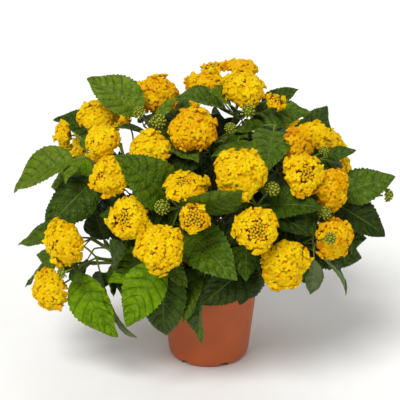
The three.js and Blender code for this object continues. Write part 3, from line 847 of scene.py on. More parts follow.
def piece_from(pile, name, materials, nodes=()):
    """One object from a pile, riding on the part, in place of the solids that it stands for."""
    points = np.concatenate(pile.points) * MM
    faces = np.concatenate(pile.faces)
    mesh = bpy.data.meshes.new(name)
    mesh.vertices.add(len(points))
    mesh.vertices.foreach_set("co", points.ravel())
    mesh.loops.add(faces.size)
    mesh.loops.foreach_set("vertex_index", faces.ravel().astype(np.int32))
    mesh.polygons.add(len(faces))
    mesh.polygons.foreach_set("loop_start", np.arange(0, faces.size, 3, dtype=np.int32))
    mesh.polygons.foreach_set("material_index", np.concatenate(pile.finishes).astype(np.int32))
    mesh.update(calc_edges=True)
    if mesh.validate():
        raise RuntimeError(name + " has faces that aren't sound")
    mesh.shade_smooth()
    mesh.set_sharp_from_angle(angle=SHARPEST)
    for material in materials:
        mesh.materials.append(material)
    piece = bpy.data.objects.new(name, mesh)
    bpy.context.scene.collection.objects.link(piece)
    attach(piece, "root")
    if nodes:
        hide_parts(*nodes)
    return piece


def add_sides(title, materials, fill, replaces=False):
    """One mesh for each side of the plant, that each of its sprays adds to."""
    for side, names in SIDES.items():
        pile = Pile()
        for name in names:
            fill(pile, grown_plant().sprays[name])
        nodes = ["spray_" + name for name in names] if replaces else ()
        piece_from(pile, title + side, materials, nodes)


def angles_of(sides, turn=1):
    """Angles round a circle, anticlockwise, or clockwise for a turn of -1."""
    return turn * np.arange(sides) / sides * FULL_TURN


def circle_of(sides, turn=1):
    angles = angles_of(sides, turn)
    return np.stack([np.cos(angles), np.sin(angles)], axis=1)


def lathe(profile, circle):
    """A skin turned about +Z, from a first point on the axis to a last, with its faces and their bands.

    A radius or height of the profile is one number, or one for each point of the circle.
    """
    rings = []
    for radius, height in profile[1:-1]:
        heights = np.broadcast_to(np.asarray(height, float), len(circle))
        rings.append(np.column_stack([circle * np.reshape(radius, (-1, 1)), heights]))
    start, end = ((0, 0, height) for _, height in (profile[0], profile[-1]))
    faces, bands, _ = loft_faces(len(rings), len(circle))
    return loft_points(start, rings, end), faces, bands


STRAIGHT = 1e-3  # a bend that stands out less has no plane of its own


def tube(curve, radii, sides, shape=1.0):
    """A tapering limb along a curve, with a radius for each of its steps and a shape round it."""
    across = (curve.bend - curve.start).cross(curve.end - curve.bend)
    if across.length < STRAIGHT:
        across = square_to(curve.way(0))
    across.normalize()
    circle = circle_of(sides)
    reaches = np.broadcast_to(np.reshape(radii, (-1, 1)) * shape, (len(radii), sides))
    rings = []
    for share, reach in zip(np.linspace(0, 1, len(radii)).tolist(), reaches):
        along = curve.way(share)
        flat = (across - along * across.dot(along)).normalized()
        over = along.cross(flat)
        spread = np.outer(circle[:, 0] * reach, flat) + np.outer(circle[:, 1] * reach, over)
        rings.append(np.array(curve.point(share)) + spread)
    points = loft_points(np.array(curve.point(0)), rings, np.array(curve.point(1)))
    return points, loft_faces(len(radii), sides)[0]


# Colours and materials


def linear(code):
    """A linear colour from an sRGB hex value, by the curve that sRGB defines."""
    shares = [int(code[place : place + 2], 16) / 255 for place in (1, 3, 5)]
    return [share / 12.92 if share <= 0.04045 else ((share + 0.055) / 1.055) ** 2.4 for share in shares]


def opaque(colour, shades=(1.0, 1.0, 1.0)):
    return (*(share * shade for share, shade in zip(colour, shades)), 1.0)


def per_metre(size):
    """A pattern's scale for features of a size in millimetres."""
    return 1 / (size * MM)


def add_node(tree, kind, feeds=None, **settings):
    """Adds one shader node with its settings, and gives its inputs their values or links."""
    made = tree.nodes.new("ShaderNode" + kind)
    for name, value in settings.items():
        setattr(made, name, value)
    for socket, value in (feeds or {}).items():
        if isinstance(value, bpy.types.NodeSocket):
            tree.links.new(value, made.inputs[socket])
        else:
            made.inputs[socket].default_value = value
    return made


MIX_SHARE = 0  # a colour mix's share input, its two colour inputs and its colour output
MIX_A = 6
MIX_B = 7
MIX_RESULT = 2
MOTTLE = {"From Min": 0.36, "From Max": 0.64}  # of the noise, from the one colour to the other
GRAIN = {"From Min": 0.3, "From Max": 0.7}
SWELLING = {"From Max": 0.75, "To Min": 1.0, "To Max": 0.0}  # high in a cell's middle, low at its edge
BUMP_STRENGTH = 0.8
MOTTLE_DETAIL = 4.0
GRAIN_DETAIL = 3.0


def surface(name, colour, shades, mottle, roughness, grain, relief, net=0.0, shine=0.5):
    """A material whose colour wanders to a shaded one, over a bump.

    The mottling, the grain, which also varies the roughness, and the bump's relief are in millimetres.
    Where net is set, the bump is a net of round swellings of that size. The shine is the specular level.
    Hairs and velvet are too fine to show in a render, so their grain is drawn coarser than it is.
    """
    material = bpy.data.materials.new(name)
    material.use_nodes = True
    tree = material.node_tree
    tree.nodes.clear()
    place = add_node(tree, "TexCoord").outputs["Object"]
    feeds = {"Vector": place, "Scale": per_metre(mottle), "Detail": MOTTLE_DETAIL}
    wander = add_node(tree, "TexNoise", feeds)
    share = add_node(tree, "MapRange", {"Value": wander.outputs["Fac"], **MOTTLE})
    ends = {MIX_A: opaque(colour), MIX_B: opaque(colour, shades)}
    blend = add_node(tree, "Mix", {MIX_SHARE: share.outputs["Result"], **ends}, data_type="RGBA")
    feeds = {"Vector": place, "Scale": per_metre(grain), "Detail": GRAIN_DETAIL}
    fine = add_node(tree, "TexNoise", feeds)
    height = fine.outputs["Fac"]
    if net:
        cells = add_node(tree, "TexVoronoi", {"Vector": place, "Scale": per_metre(net)}, feature="F1")
        feeds = {"Value": cells.outputs["Distance"], **SWELLING}
        height = add_node(tree, "MapRange", feeds, interpolation_type="SMOOTHSTEP").outputs["Result"]
    bump = add_node(tree, "Bump", {"Height": height, "Strength": BUMP_STRENGTH, "Distance": relief * MM})
    ends = {"To Min": roughness[0], "To Max": roughness[1]}
    gloss = add_node(tree, "MapRange", {"Value": fine.outputs["Fac"], **GRAIN, **ends})
    feeds = {
        "Base Color": blend.outputs[MIX_RESULT],
        "Roughness": gloss.outputs["Result"],
        "Normal": bump.outputs["Normal"],
        "Specular IOR Level": shine,
    }
    shader = add_node(tree, "BsdfPrincipled", feeds)
    add_node(tree, "OutputMaterial", {"Surface": shader.outputs["BSDF"]})
    return material


def evenly(shade):
    return (shade, shade, shade)


LEAF_SHINE = {"bright": 0.06, "fresh": 0.18, "mid": 0.16, "deep": 0.14, "dark": 0.12}
# Blade tones with painted shade, for the strips along the side veins
LEAF_GROOVES = tuple(tone + "_groove" for tone in LEAF_SHINE)
LEAF_FINISHES = (*LEAF_SHINE, *LEAF_GROOVES, "pale", "pale_groove", "midrib")
# The strips beside each side vein are painted darker by this share, a painted shade in the vein's groove
GROOVE_PAINTED_SHADE = 0.7
VEIN_NET = 2.4  # the net of a leaf's smallest veins, drawn coarser than it is so that it shows


def leaf_materials(look):
    """Lantana leaf: a rough, finely netted blade with short hairs, dull but with a soft shine."""
    materials = []
    # Each tone is a lit or shaded copy of the blade's green, painted light or painted shade
    for name in (*LEAF_SHINE, *LEAF_GROOVES):
        shade = GROOVE_PAINTED_SHADE if name in LEAF_GROOVES else 1.0
        tone = name.split("_")[0]
        colour = [share * shade for share in getattr(look, tone)]
        made = surface(
            "leaf_blade_" + name, colour, shades=(0.5, 0.63, 0.46), mottle=6, roughness=(0.32, 0.48),
            grain=0.7, relief=1.0, net=VEIN_NET, shine=LEAF_SHINE[tone],
        )
        materials.append(made)
    # The underside is felted with pale hairs, with no shine, and its veins stand out
    for name, shade in (("leaf_underside_felted", 1.0), ("leaf_underside_vein", 1.15)):
        colour = [share * shade for share in look.underside]
        made = surface(
            name, colour, shades=evenly(0.75), mottle=5, roughness=(0.7, 0.85),
            grain=0.6, relief=0.4, net=VEIN_NET, shine=0.1,
        )
        materials.append(made)
    # The midrib is a smooth pale cord
    made = surface(
        "leaf_midrib_smooth", look.midrib, shades=evenly(0.8), mottle=9, roughness=(0.45, 0.6),
        grain=0.8, relief=0.1, shine=0.2,
    )
    return [*materials, made]


PETALS = ("lemon", "yellow", "golden", "orange")
# The throat and tube are waxy and deeper in colour, the buds waxy and tight, the receptacle between the
# florets in bud brown and dull as painted shade, and the bracts hairy. Each has its least roughness.
HEAD_PARTS = {
    "throat": ("petal_throat_waxy", 0.55),
    "floret_bud": ("floret_bud_waxy", 0.5),
    "receptacle": ("receptacle_fibrous", 0.85),
    "bract": ("bract_hairy", 0.65),
    "green_bud": ("green_bud_waxy", 0.5),
}
PART_ROUGHENING = 0.12
HEAD_FINISHES = (*PETALS, *HEAD_PARTS)


def petal_materials(look):
    """Lantana petal: thin and velvety, so it has no shine."""
    materials = []
    for name in PETALS:
        made = surface(
            "petal_velvet_" + name, getattr(look, name), shades=(0.97, 0.86, 0.7), mottle=4,
            roughness=(0.6, 0.75), grain=0.5, relief=0.12, shine=0.06,
        )
        materials.append(made)
    for name, (title, rough) in HEAD_PARTS.items():
        made = surface(
            title, getattr(look, name), shades=evenly(0.65), mottle=2,
            roughness=(rough, rough + PART_ROUGHENING), grain=0.6, relief=0.15, shine=0.1,
        )
        materials.append(made)
    return materials


def stalk_material(look):
    """Young lantana stem: green, square and rough with short hairs that dull it."""
    return surface(
        "young_stem_hairy", look.young, shades=(1.25, 0.82, 0.9), mottle=8, roughness=(0.55, 0.72),
        grain=0.6, relief=0.25,
    )


def bark_material(look):
    """Lantana bark: thin, grey-brown and finely cracked lengthwise, with no shine."""
    return surface(
        "bark_cracked", look.bark, shades=evenly(0.45), mottle=3, roughness=(0.82, 0.95),
        grain=1.2, relief=0.6,
    )


def pot_material(look):
    """Polypropylene, moulded, in a terracotta colour: satin, with a faint orange-peel from the mould."""
    return surface(
        "polypropylene_moulded", look.wall, shades=evenly(0.9), mottle=22, roughness=(0.4, 0.48),
        grain=1.6, relief=0.06, shine=0.25,
    )


def peat_material(look):
    """Peat potting mix: dark, damp crumbs that scatter what light reaches them."""
    return surface(
        "peat_crumbed", look.mix, shades=evenly(0.4), mottle=2.5, roughness=(0.85, 1.0),
        grain=1.4, relief=1.0,
    )


def floor_material(look):
    """Painted board: flat and matt, so it only takes soft shadows."""
    return surface(
        "floor_matt_paint", look.floor_colour, shades=evenly(0.985), mottle=40, roughness=(0.85, 0.95),
        grain=2, relief=0.05,
    )


# What a user would change


def colour_of(name, description, code):
    return bpy.props.FloatVectorProperty(
        name=name, description=description, default=linear(code), size=3, min=0, max=1, subtype="COLOR"
    )


def length_of(name, description, size):
    return bpy.props.FloatProperty(
        name=name, description=description, default=size * MM, min=0, subtype="DISTANCE", unit="LENGTH"
    )


def strength_of(name, description, strength):
    return bpy.props.FloatProperty(name=name, description=description, default=strength, min=0)


class LANTANA_PG_leaves(bpy.types.PropertyGroup):
    vein_pairs: bpy.props.IntProperty(
        name="Vein pairs", description="Side veins on each half of a full leaf", default=8, min=3, max=12
    )
    quilt: length_of("Quilting", "How high the blade swells between its veins", 1.5)
    tooth: length_of("Teeth", "How far the teeth stand out from the edge", 1.3)
    thickness: length_of("Thickness", "Thickness of the blade", 0.45)
    ripple: length_of("Ripple", "How far the edges wave", 2.0)
    # The blade tones are lit and shaded copies of one leaf green: bright is painted light, deep and dark
    # are painted shade, and fresh and mid are lighter partly for being young and partly as painted
    # light; dark is also the darker green of old leaves
    bright: colour_of("Bright", "Blades in full light", "#6E8E06")
    fresh: colour_of("Fresh", "Young outer blades", "#677C08")
    mid: colour_of("Mid", "Grown outer blades", "#526A05")
    deep: colour_of("Deep", "Blades within the crown", "#3F5505")
    dark: colour_of("Dark", "Old blades in the shade", "#2C3C05")
    underside: colour_of("Underside", "The felted underside", "#788A58")
    midrib: colour_of("Midrib", "The midrib's upper side", "#567018")


class LANTANA_PG_flowers(bpy.types.PropertyGroup):
    floret: length_of("Floret", "Width of an open floret", 10.0)
    unopened: length_of("Unopened floret", "Width of a floret in bud", 3.2)
    lemon: colour_of("Lemon", "Newest petals", "#E2C408")
    yellow: colour_of("Yellow", "Open petals", "#DEB904")
    golden: colour_of("Golden", "Older petals", "#DCAA02")
    orange: colour_of("Orange", "Oldest petals", "#C88802")
    throat: colour_of("Throat", "Floret throat", "#CE9C04")
    floret_bud: colour_of("Floret bud", "Florets before they open", "#CDB010")
    # The receptacle's brown is painted shade, for the dark gaps between the florets in bud
    receptacle: colour_of("Receptacle", "Between the florets in bud", "#6E3410")
    bract: colour_of("Bract", "Green bracts", "#768A26")
    green_bud: colour_of("Green bud", "Tips of unripe florets", "#B0AC34")


class LANTANA_PG_wood(bpy.types.PropertyGroup):
    ridge: length_of("Bark ridge", "Depth of the bark's cracks", 0.5)
    bark: colour_of("Bark", "Bark of stem and boughs", "#8A7A5C")
    young: colour_of("Young stem", "Green twigs and stalks", "#66801C")


class LANTANA_PG_pot(bpy.types.PropertyGroup):
    wall: colour_of("Pot", "Moulded plastic of the pot", "#B85A2C")
    mix: colour_of("Potting mix", "Damp peat", "#3B2A1D")
    lump: length_of("Lumps", "Height of the potting mix's lumps", 1.4)


class LANTANA_PG_stage(bpy.types.PropertyGroup):
    floor_size: length_of("Floor", "Side of the floor", 16000)
    floor_colour: colour_of("Floor colour", "Plain pale floor", "#F7F7F5")
    key_strength: strength_of("Key light", "Soft light from the upper left", 2.75)
    fill_strength: strength_of("Fill light", "Soft light from the right", 0.45)
    back_strength: strength_of("Back light", "Soft light from behind", 0.65)
    surround: strength_of("Surround", "Strength of the white surround", 0.3)
    lens: bpy.props.FloatProperty(
        name="Lens", description="Focal length", default=VIEW.lens, min=10, unit="CAMERA"
    )


# Leaves

TOP_COLUMNS = np.array([1, 0.8, 0.56, 0.3, 0.02, -0.02, -0.3, -0.56, -0.8, -1])
UNDER_COLUMNS = np.array([-0.8, -0.42, -0.05, 0.05, 0.42, 0.8])
COLUMNS = np.concatenate([TOP_COLUMNS, UNDER_COLUMNS])
IS_UNDER = np.arange(len(COLUMNS)) >= len(TOP_COLUMNS)
MIDRIB_SIDE = 4  # the strip between the two columns next to the midrib
UNDER_SIDE = len(TOP_COLUMNS) - 1  # the first strip of the underside
VEIN_ROWS = np.array([0, 0.09, 0.3, 0.5, 0.7, 0.91])  # rows from one side vein to the next
GROOVE_ROWS = (0, len(VEIN_ROWS) - 1)
BLADE = SimpleNamespace(
    fewest_veins=3,
    sweep=0.22,  # of the blade, how far forward a side vein runs to the edge
    sweep_power=1.3,
    toothless=0.1,  # of the blade, at its base
    tooth_fades=(0.1, 0.08),  # of the blade, where the teeth grow from the base and shrink to the tip
    swell_power=0.7,
    swell_fade=2,
    quilts=(0.8, 1.2),  # least and greatest share of the quilting
    waves=(1.2, 2.2),  # along an edge
    ripple_power=2,
    rolls=(0.0, 0.4),  # of the half width, how far the edges turn down
    roll_power=4,
    droops=(-0.01, 0.08),  # of the leaf's length, how far the tip hangs down
    droop_from=0.5,  # along the blade
    droop_power=2,
    folds=(0.7, 1.9),  # least and greatest share of the solid leaf's fold
    rib_depth=0.9,
    rib_width=0.1,  # of the half width
)


def leaf_skin(grown, look):
    """A leaf's blade: quilted between swept side veins, toothed, with a groove along the midrib."""
    random = np.random.default_rng(grown.seed)
    size = size_share(grown)
    veins = max(BLADE.fewest_veins, round(look.vein_pairs * size))
    level = ((np.arange(veins)[:, None] + VEIN_ROWS) / veins).ravel()[1:, None]
    wide = np.abs(COLUMNS)
    bow = np.sin(math.pi * level)
    share = level + BLADE.sweep * bow * wide**BLADE.sweep_power
    half = half_width(grown, share)
    from_base = (level - BLADE.toothless) / BLADE.tooth_fades[0]
    from_tip = (1 - level) / BLADE.tooth_fades[1]
    toothed = np.clip(np.minimum(from_base, from_tip), 0, 1)
    # The rows draw together towards the tip, and the teeth grow smaller with them
    crowding = 1 + BLADE.sweep * math.pi * np.cos(math.pi * level)
    is_odd = (np.arange(len(level)) % 2)[:, None]
    tooth = look.tooth / MM * size * is_odd * toothed * crowding * (wide == 1)
    across = np.sign(COLUMNS) * (half * wide + tooth)
    swell = np.sin(math.pi * (level * veins % 1)) ** BLADE.swell_power
    swell = swell * (4 * wide * (1 - wide)) ** BLADE.swell_power * np.clip(bow * BLADE.swell_fade, 0, 1)
    quilt = look.quilt / MM * size * between(BLADE.quilts, random.random()) * swell
    waves = between(BLADE.waves, random.random())
    start = random.random() * FULL_TURN
    wave = np.sin(waves * FULL_TURN * level + start + np.sign(COLUMNS))
    ripple = look.ripple / MM * size * wave * wide**BLADE.ripple_power * bow
    roll = between(BLADE.rolls, random.random()) * half * wide**BLADE.roll_power
    droop = between(BLADE.droops, random.random()) * grown.length
    drooping = np.clip((share - BLADE.droop_from) / (1 - BLADE.droop_from), 0, 1) ** BLADE.droop_power
    fold = LEAF.fold * between(BLADE.folds, random.random())
    lift = fold * half * wide + quilt + ripple - roll - droop * drooping
    rib = BLADE.rib_depth * size * (1 - level) * (wide < BLADE.rib_width)
    lift = lift - IS_UNDER * (look.thickness / MM + rib)
    rings = blade_points(grown, share, across, lift)
    ends = blade_points(grown, np.array([0.0, 1.0]), np.zeros(2), np.array([0.0, -droop]))
    # The underside is cut as the upper side is, so that the two don't cross along a toothed edge
    faces, bands, sides = loft_faces(len(level), len(COLUMNS), len(UNDER_COLUMNS) + 1)
    is_groove = np.isin(bands % len(VEIN_ROWS), GROOVE_ROWS)
    is_under = sides >= UNDER_SIDE
    finishes = np.full(len(faces), LEAF_FINISHES.index(grown.tone))
    # On the upper side the strips beside the side veins are painted darker, a painted shade, except on a
    # leaf that shows its pale underside
    finishes[is_groove] = LEAF_FINISHES.index(grown.tone + "_groove")
    finishes[sides == MIDRIB_SIDE] = LEAF_FINISHES.index("midrib")
    finishes[is_under] = LEAF_FINISHES.index("pale")
    finishes[is_under & is_groove] = LEAF_FINISHES.index("pale_groove")
    return loft_points(ends[0], rings, ends[1]), faces, finishes


class LANTANA_OT_leaves(bpy.types.Operator):
    """Grow the leaves, joined into one mesh for each side of the plant."""

    bl_idname = "lantana.leaves"
    bl_label = "Leaves"

    def execute(self, context):
        look = context.scene.lantana_leaves

        def add_leaves(pile, plant):
            for grown in plant.leaves:
                pile.add(*leaf_skin(grown, look))

        add_sides("leaves_", leaf_materials(look), add_leaves, replaces=True)
        return {"FINISHED"}


# Stalks, stem and boughs

TWIG_SKIN = SimpleNamespace(
    sides=8,
    steps=30,
    corners=4,
    corner=0.12,  # how far the corners stand out
    joint_swell=0.35,  # how much the twig swells where its leaves stand
    joint_width=0.035,  # of the twig
)
STALK_SIDES = 6
STALK_RADII = np.linspace(1.1, 0.9, 11) * HEAD.stalk_radius
PETIOLE_RADII = np.linspace(1.25, 0.85, 7) * LEAF.petiole_radius
PETIOLE_SIZES = (0.6, 1.1)  # of the smallest leaf and of a full one
PETIOLE_OVERLAP = 0.02  # of the leaf, how far the petiole runs on into the blade


def twig_skin(twig, radius, tip_radius, joints):
    shares = np.linspace(0, 1, TWIG_SKIN.steps)
    radii = between((radius, tip_radius), shares)
    for joint in joints:
        bulge = np.exp(-(((shares - joint) / TWIG_SKIN.joint_width) ** 2))
        radii = radii * (1 + TWIG_SKIN.joint_swell * bulge)
    shape = 1 + TWIG_SKIN.corner * np.cos(TWIG_SKIN.corners * angles_of(TWIG_SKIN.sides))
    return tube(twig, radii, TWIG_SKIN.sides, shape)


def petiole_skin(grown):
    """The first part of a leaf's midrib, from its node to its blade."""
    share = petiole_share(grown) + PETIOLE_OVERLAP
    crest = grown.node.lerp(grown.tip, 0.5) + grown.face * (LEAF.arch * grown.length)
    midrib = Bend(grown.node, crest, grown.tip)
    petiole = Bend(grown.node, grown.node.lerp(crest, share), midrib.point(share))
    return tube(petiole, PETIOLE_RADII * between(PETIOLE_SIZES, size_share(grown)), STALK_SIDES)


def add_stalks(pile, plant):
    for twig in plant.twigs:
        pile.add(*twig_skin(*twig))
    for grown in plant.leaves:
        pile.add(*petiole_skin(grown))
    for head in plant.heads + plant.buds:
        pile.add(*tube(head.stalk, STALK_RADII, STALK_SIDES))


class LANTANA_OT_stalks(bpy.types.Operator):
    """Grow the green twigs, petioles and flower stalks, joined for each side of the plant."""

    bl_idname = "lantana.stalks"
    bl_label = "Twigs and stalks"

    def execute(self, context):
        add_sides("stalks_", [stalk_material(context.scene.lantana_wood)], add_stalks)
        return {"FINISHED"}


BARK = SimpleNamespace(
    sides=24,
    step=1.6,
    fewest_steps=12,
    cracks_round=2.25,  # radius in the noise of a ring round the limb
    crack_length=14,
    crack_height=1.6,  # of the ridge, from the deepest crack to the highest bark
    crack_sink=0.4,
    knob_length=9,
    knob_height=0.35,
    bough_ridge=0.6,  # of the stem's
)


def stem_radius(share):
    flare = STEM.flare * math.exp(-share * STEM.height / STEM.flare_height)
    return between((STEM.radius, STEM.tip_radius), share) + flare


def bough_radius(share):
    return between((BOUGH.radius, BOUGH.tip_radius), share)


def bark_skin(curve, radius_at, ridge):
    """A limb with bark ridges that run along it and break up."""
    steps = max(BARK.fewest_steps, round(curve.length / BARK.step))
    shares = np.linspace(0, 1, steps)
    radii = np.array([radius_at(share) for share in shares])
    circle = circle_of(BARK.sides) * BARK.cracks_round
    angles = angles_of(BARK.sides)
    shape = np.empty((steps, BARK.sides))
    for step, share in enumerate(shares):
        height = share * curve.length
        for side in range(BARK.sides):
            crack = abs(noise.noise(Vector((*circle[side], height / BARK.crack_length)) + curve.end))
            knob = noise.noise(Vector((height / BARK.knob_length, angles[side], curve.end.x)))
            relief = ridge * (BARK.crack_height * crack - BARK.crack_sink) + BARK.knob_height * knob
            shape[step, side] = 1 + relief / radii[step]
    return tube(curve, radii, BARK.sides, shape)


class LANTANA_OT_wood(bpy.types.Operator):
    """Build the woody stem and the boughs that fork from it, with bark relief."""

    bl_idname = "lantana.wood"
    bl_label = "Stem and boughs"

    def execute(self, context):
        look = context.scene.lantana_wood
        material = bark_material(look)
        plant = grown_plant()
        ridge = look.ridge / MM
        stem = Pile()
        stem.add(*bark_skin(plant.stem, stem_radius, ridge))
        piece_from(stem, "stem_bark", [material], ["woody_stem"])
        boughs = Pile()
        for grown in plant.sprays.values():
            boughs.add(*bark_skin(grown.bough, bough_radius, ridge * BARK.bough_ridge))
        nodes = ["bough_" + name for name in plant.sprays]
        piece_from(boughs, "boughs_bark", [material], nodes)
        return {"FINISHED"}


# Flower heads

DOME_END = 1.85  # radians from a head's axis to its lowest florets
DOME_STEPS = 240
HEART_ANGLE = 1.15  # radians from the axis to the edge of a head's fullest heart
SLANT = 0.01  # keeps a floret on the axis from having no side of its own
FLORETS = SimpleNamespace(
    seed=700,
    lobes=(4, 5, 4, 5),
    outline=np.array([0.5, 0.86, 1.0, 1.0, 0.86]),  # of a lobe, from one notch to the next
    curl=0.14,
    curls=2,  # round a floret
    throat=(0.08, 0.1),  # radius and height of its rim, for a floret of width 2
    throat_floor=0.02,
    middles=(0.36, 0.56),  # radius halfway out, at no lobe and at a full one
    middle_height=0.2,
    middle_curl=0.5,
    edge_height=0.02,
    notch_drop=0.25,
    tube=1.0,
    packing=0.36,  # of a floret's square, the room that each takes
    small_head=28,
    small_size=0.84,
    sunk=0.12,  # of its width
    wobble=0.26,
    sizes=(0.9, 1.12),
    lift=1.1,
    lumps=((3, 0.08), (5, 0.05)),  # how many a head has round it, and how far they stand out
    outer_tilt=1.25,  # florets further from the axis are older
)
KNOBS = SimpleNamespace(
    sides=8,
    corners=4,
    corner=0.07,
    profile=((0, 0.55), (0.66, 0.42), (1.0, 0.0), (0.5, -0.8), (0, -1.8)),
    packing=0.74,
    sunk=0.9,
    wobble=0.2,
    sizes=(0.72, 1.02),  # from the heart's middle to its edge
    golden=(0.35, 0.85),  # the share of them that is, from the middle to the edge
)
RECEPTACLE = SimpleNamespace(
    sides=14,
    tilts=(0.0, 0.35, 0.75, 1.15, 1.55),
    share=0.92,
    heart_share=0.8,  # of a head's radius, where its florets are in bud
)
BRACT = SimpleNamespace(
    count=9, reach=0.42, lift=0.4, middle=0.6, drop=0.2, tip=1.2, rise=0.5, half_width=1.0, thick=0.3
)
# Petal colours of the inner and the outer florets, by the head's age
AGES = {
    "yellow": (("lemon", "yellow", "lemon", "yellow"), ("yellow", "golden", "yellow", "yellow")),
    "golden": (("yellow", "golden", "golden", "golden"), ("golden", "orange", "golden", "orange")),
}


def finish(name):
    return HEAD_FINISHES.index(name)


@lru_cache(maxsize=None)
def floret_skin(variant):
    """An open floret of width 2: round lobes about a small throat, over a tube. Its face is +Z."""
    outline = np.tile(FLORETS.outline, FLORETS.lobes[variant])
    sides = len(outline)
    curl = FLORETS.curl * np.sin(FLORETS.curls * angles_of(sides, -1) + variant)
    profile = (
        (0, FLORETS.throat_floor),
        FLORETS.throat,
        (between(FLORETS.middles, outline), FLORETS.middle_height + FLORETS.middle_curl * curl),
        (outline, FLORETS.edge_height + curl - FLORETS.notch_drop * (1 - outline)),
        (0, -FLORETS.tube),
    )
    return lathe(profile, circle_of(sides, -1))


@lru_cache(maxsize=None)
def knob_skin():
    """An unopened floret of width 2: a small four-cornered cushion on a tube. Its top is +Z."""
    square = 1 + KNOBS.corner * np.cos(KNOBS.corners * angles_of(KNOBS.sides, -1))
    return lathe(KNOBS.profile, circle_of(KNOBS.sides, -1) * square[:, None])


def dome_layout(dome, first, last, spacing):
    """Angles from the axis and round it for things evenly spread over a dome of radius 1."""
    table = np.linspace(0, DOME_END, DOME_STEPS)
    strips = np.sin(table) * np.hypot(np.cos(table), dome * np.sin(table)) * (table[1] - table[0])
    area = np.cumsum(strips) * FULL_TURN
    low, high = np.interp([first, last], table, area)
    count = max(0, round((high - low) / spacing))
    levels = low + (high - low) * (np.arange(count) + 0.5) / max(1, count)
    return np.interp(levels, area, table), np.arange(count) * GOLDEN_ANGLE


def head_axes(head):
    axis = np.array(head.axis)
    first = np.array(square_to(head.axis))
    return axis, first, np.cross(axis, first)


def dome_frames(head, dome, tilts, turns, random, wobble):
    """Places on a head's dome of radius 1 and the turned axes there, with +Z square to the dome."""
    axis, first, second = head_axes(head)
    radial = np.outer(np.cos(turns), first) + np.outer(np.sin(turns), second)
    sines = np.sin(tilts)[:, None]
    cosines = np.cos(tilts)[:, None]
    places = radial * sines + axis * cosines * dome
    normals = unit_rows(radial * sines * dome + axis * cosines)
    normals = unit_rows(normals + wobble * random.standard_normal(normals.shape))
    guide = unit_rows(np.cross(normals, axis + SLANT * second))
    other = np.cross(normals, guide)
    angle = random.random(len(tilts))[:, None] * FULL_TURN
    x_axis = guide * np.cos(angle) + other * np.sin(angle)
    y_axis = np.cross(normals, x_axis)
    return places, np.stack([x_axis, y_axis, normals], axis=2)


def add_head(pile, head, look, number):
    """A flower head: open florets over a dome, unopened ones in its heart, on a receptacle."""
    random = np.random.default_rng(FLORETS.seed + number)
    dome = head.dome - HEAD.sink * head.heart
    width = look.floret / MM * (FLORETS.small_size if head.across < FLORETS.small_head else 1.0)
    inner = head.across / 2 - FLORETS.sunk * width
    opening = HEART_ANGLE * head.heart
    tilts, turns = dome_layout(dome, opening, DOME_END, FLORETS.packing * (width / inner) ** 2)
    places, frames = dome_frames(head, dome, tilts, turns, random, FLORETS.wobble)
    sizes = width / 2 * between(FLORETS.sizes, random.random(len(tilts)))
    lifts = FLORETS.lift * random.standard_normal(len(tilts))
    starts = random.random(len(FLORETS.lumps)) * FULL_TURN
    lumps = 0
    for (count, out), start in zip(FLORETS.lumps, starts):
        lumps = lumps + out * np.sin(count * turns + start)
    reaches = inner * (1 + lumps * np.sin(tilts))
    places = np.array(head.at) + places * reaches[:, None] + frames[:, :, 2] * lifts[:, None]
    variants = random.integers(0, len(FLORETS.lobes), len(tilts))
    inside, outside = ([finish(name) for name in names] for names in AGES[head.age])
    picks = random.integers(0, len(inside), len(tilts))
    tones = np.where(tilts > FLORETS.outer_tilt, np.take(outside, picks), np.take(inside, picks))
    for variant in range(len(FLORETS.lobes)):
        chosen = variants == variant
        points, faces, bands = floret_skin(variant)
        finishes = np.repeat(tones[chosen, None], len(faces), axis=1)
        finishes[:, bands == 0] = finish("throat")
        scaled = frames[chosen] * sizes[chosen, None, None]
        pile.add_copies(points, faces, finishes, scaled, places[chosen])
    if opening:
        add_heart(pile, head, look, dome, opening, random)
    # Under the open florets the receptacle is golden, painted light that stands in for light through the
    # petals where the gaps between them would be in shade
    add_receptacle(pile, head, inner, dome, opening, "golden")


def add_heart(pile, head, look, dome, opening, random):
    """The florets that are still in bud, smallest in the middle."""
    width = look.unopened / MM
    inner = head.across / 2 - KNOBS.sunk * width
    tilts, turns = dome_layout(dome, 0.0, opening, KNOBS.packing * (width / inner) ** 2)
    places, frames = dome_frames(head, dome, tilts, turns, random, KNOBS.wobble)
    sizes = width / 2 * between(KNOBS.sizes, tilts / opening)
    is_golden = random.random(len(tilts)) < between(KNOBS.golden, tilts / opening)
    points, faces, _ = knob_skin()
    tones = np.where(is_golden, finish("golden"), finish("floret_bud"))
    finishes = np.repeat(tones[:, None], len(faces), axis=1)
    places = np.array(head.at) + places * inner
    pile.add_copies(points, faces, finishes, frames * sizes[:, None, None], places)


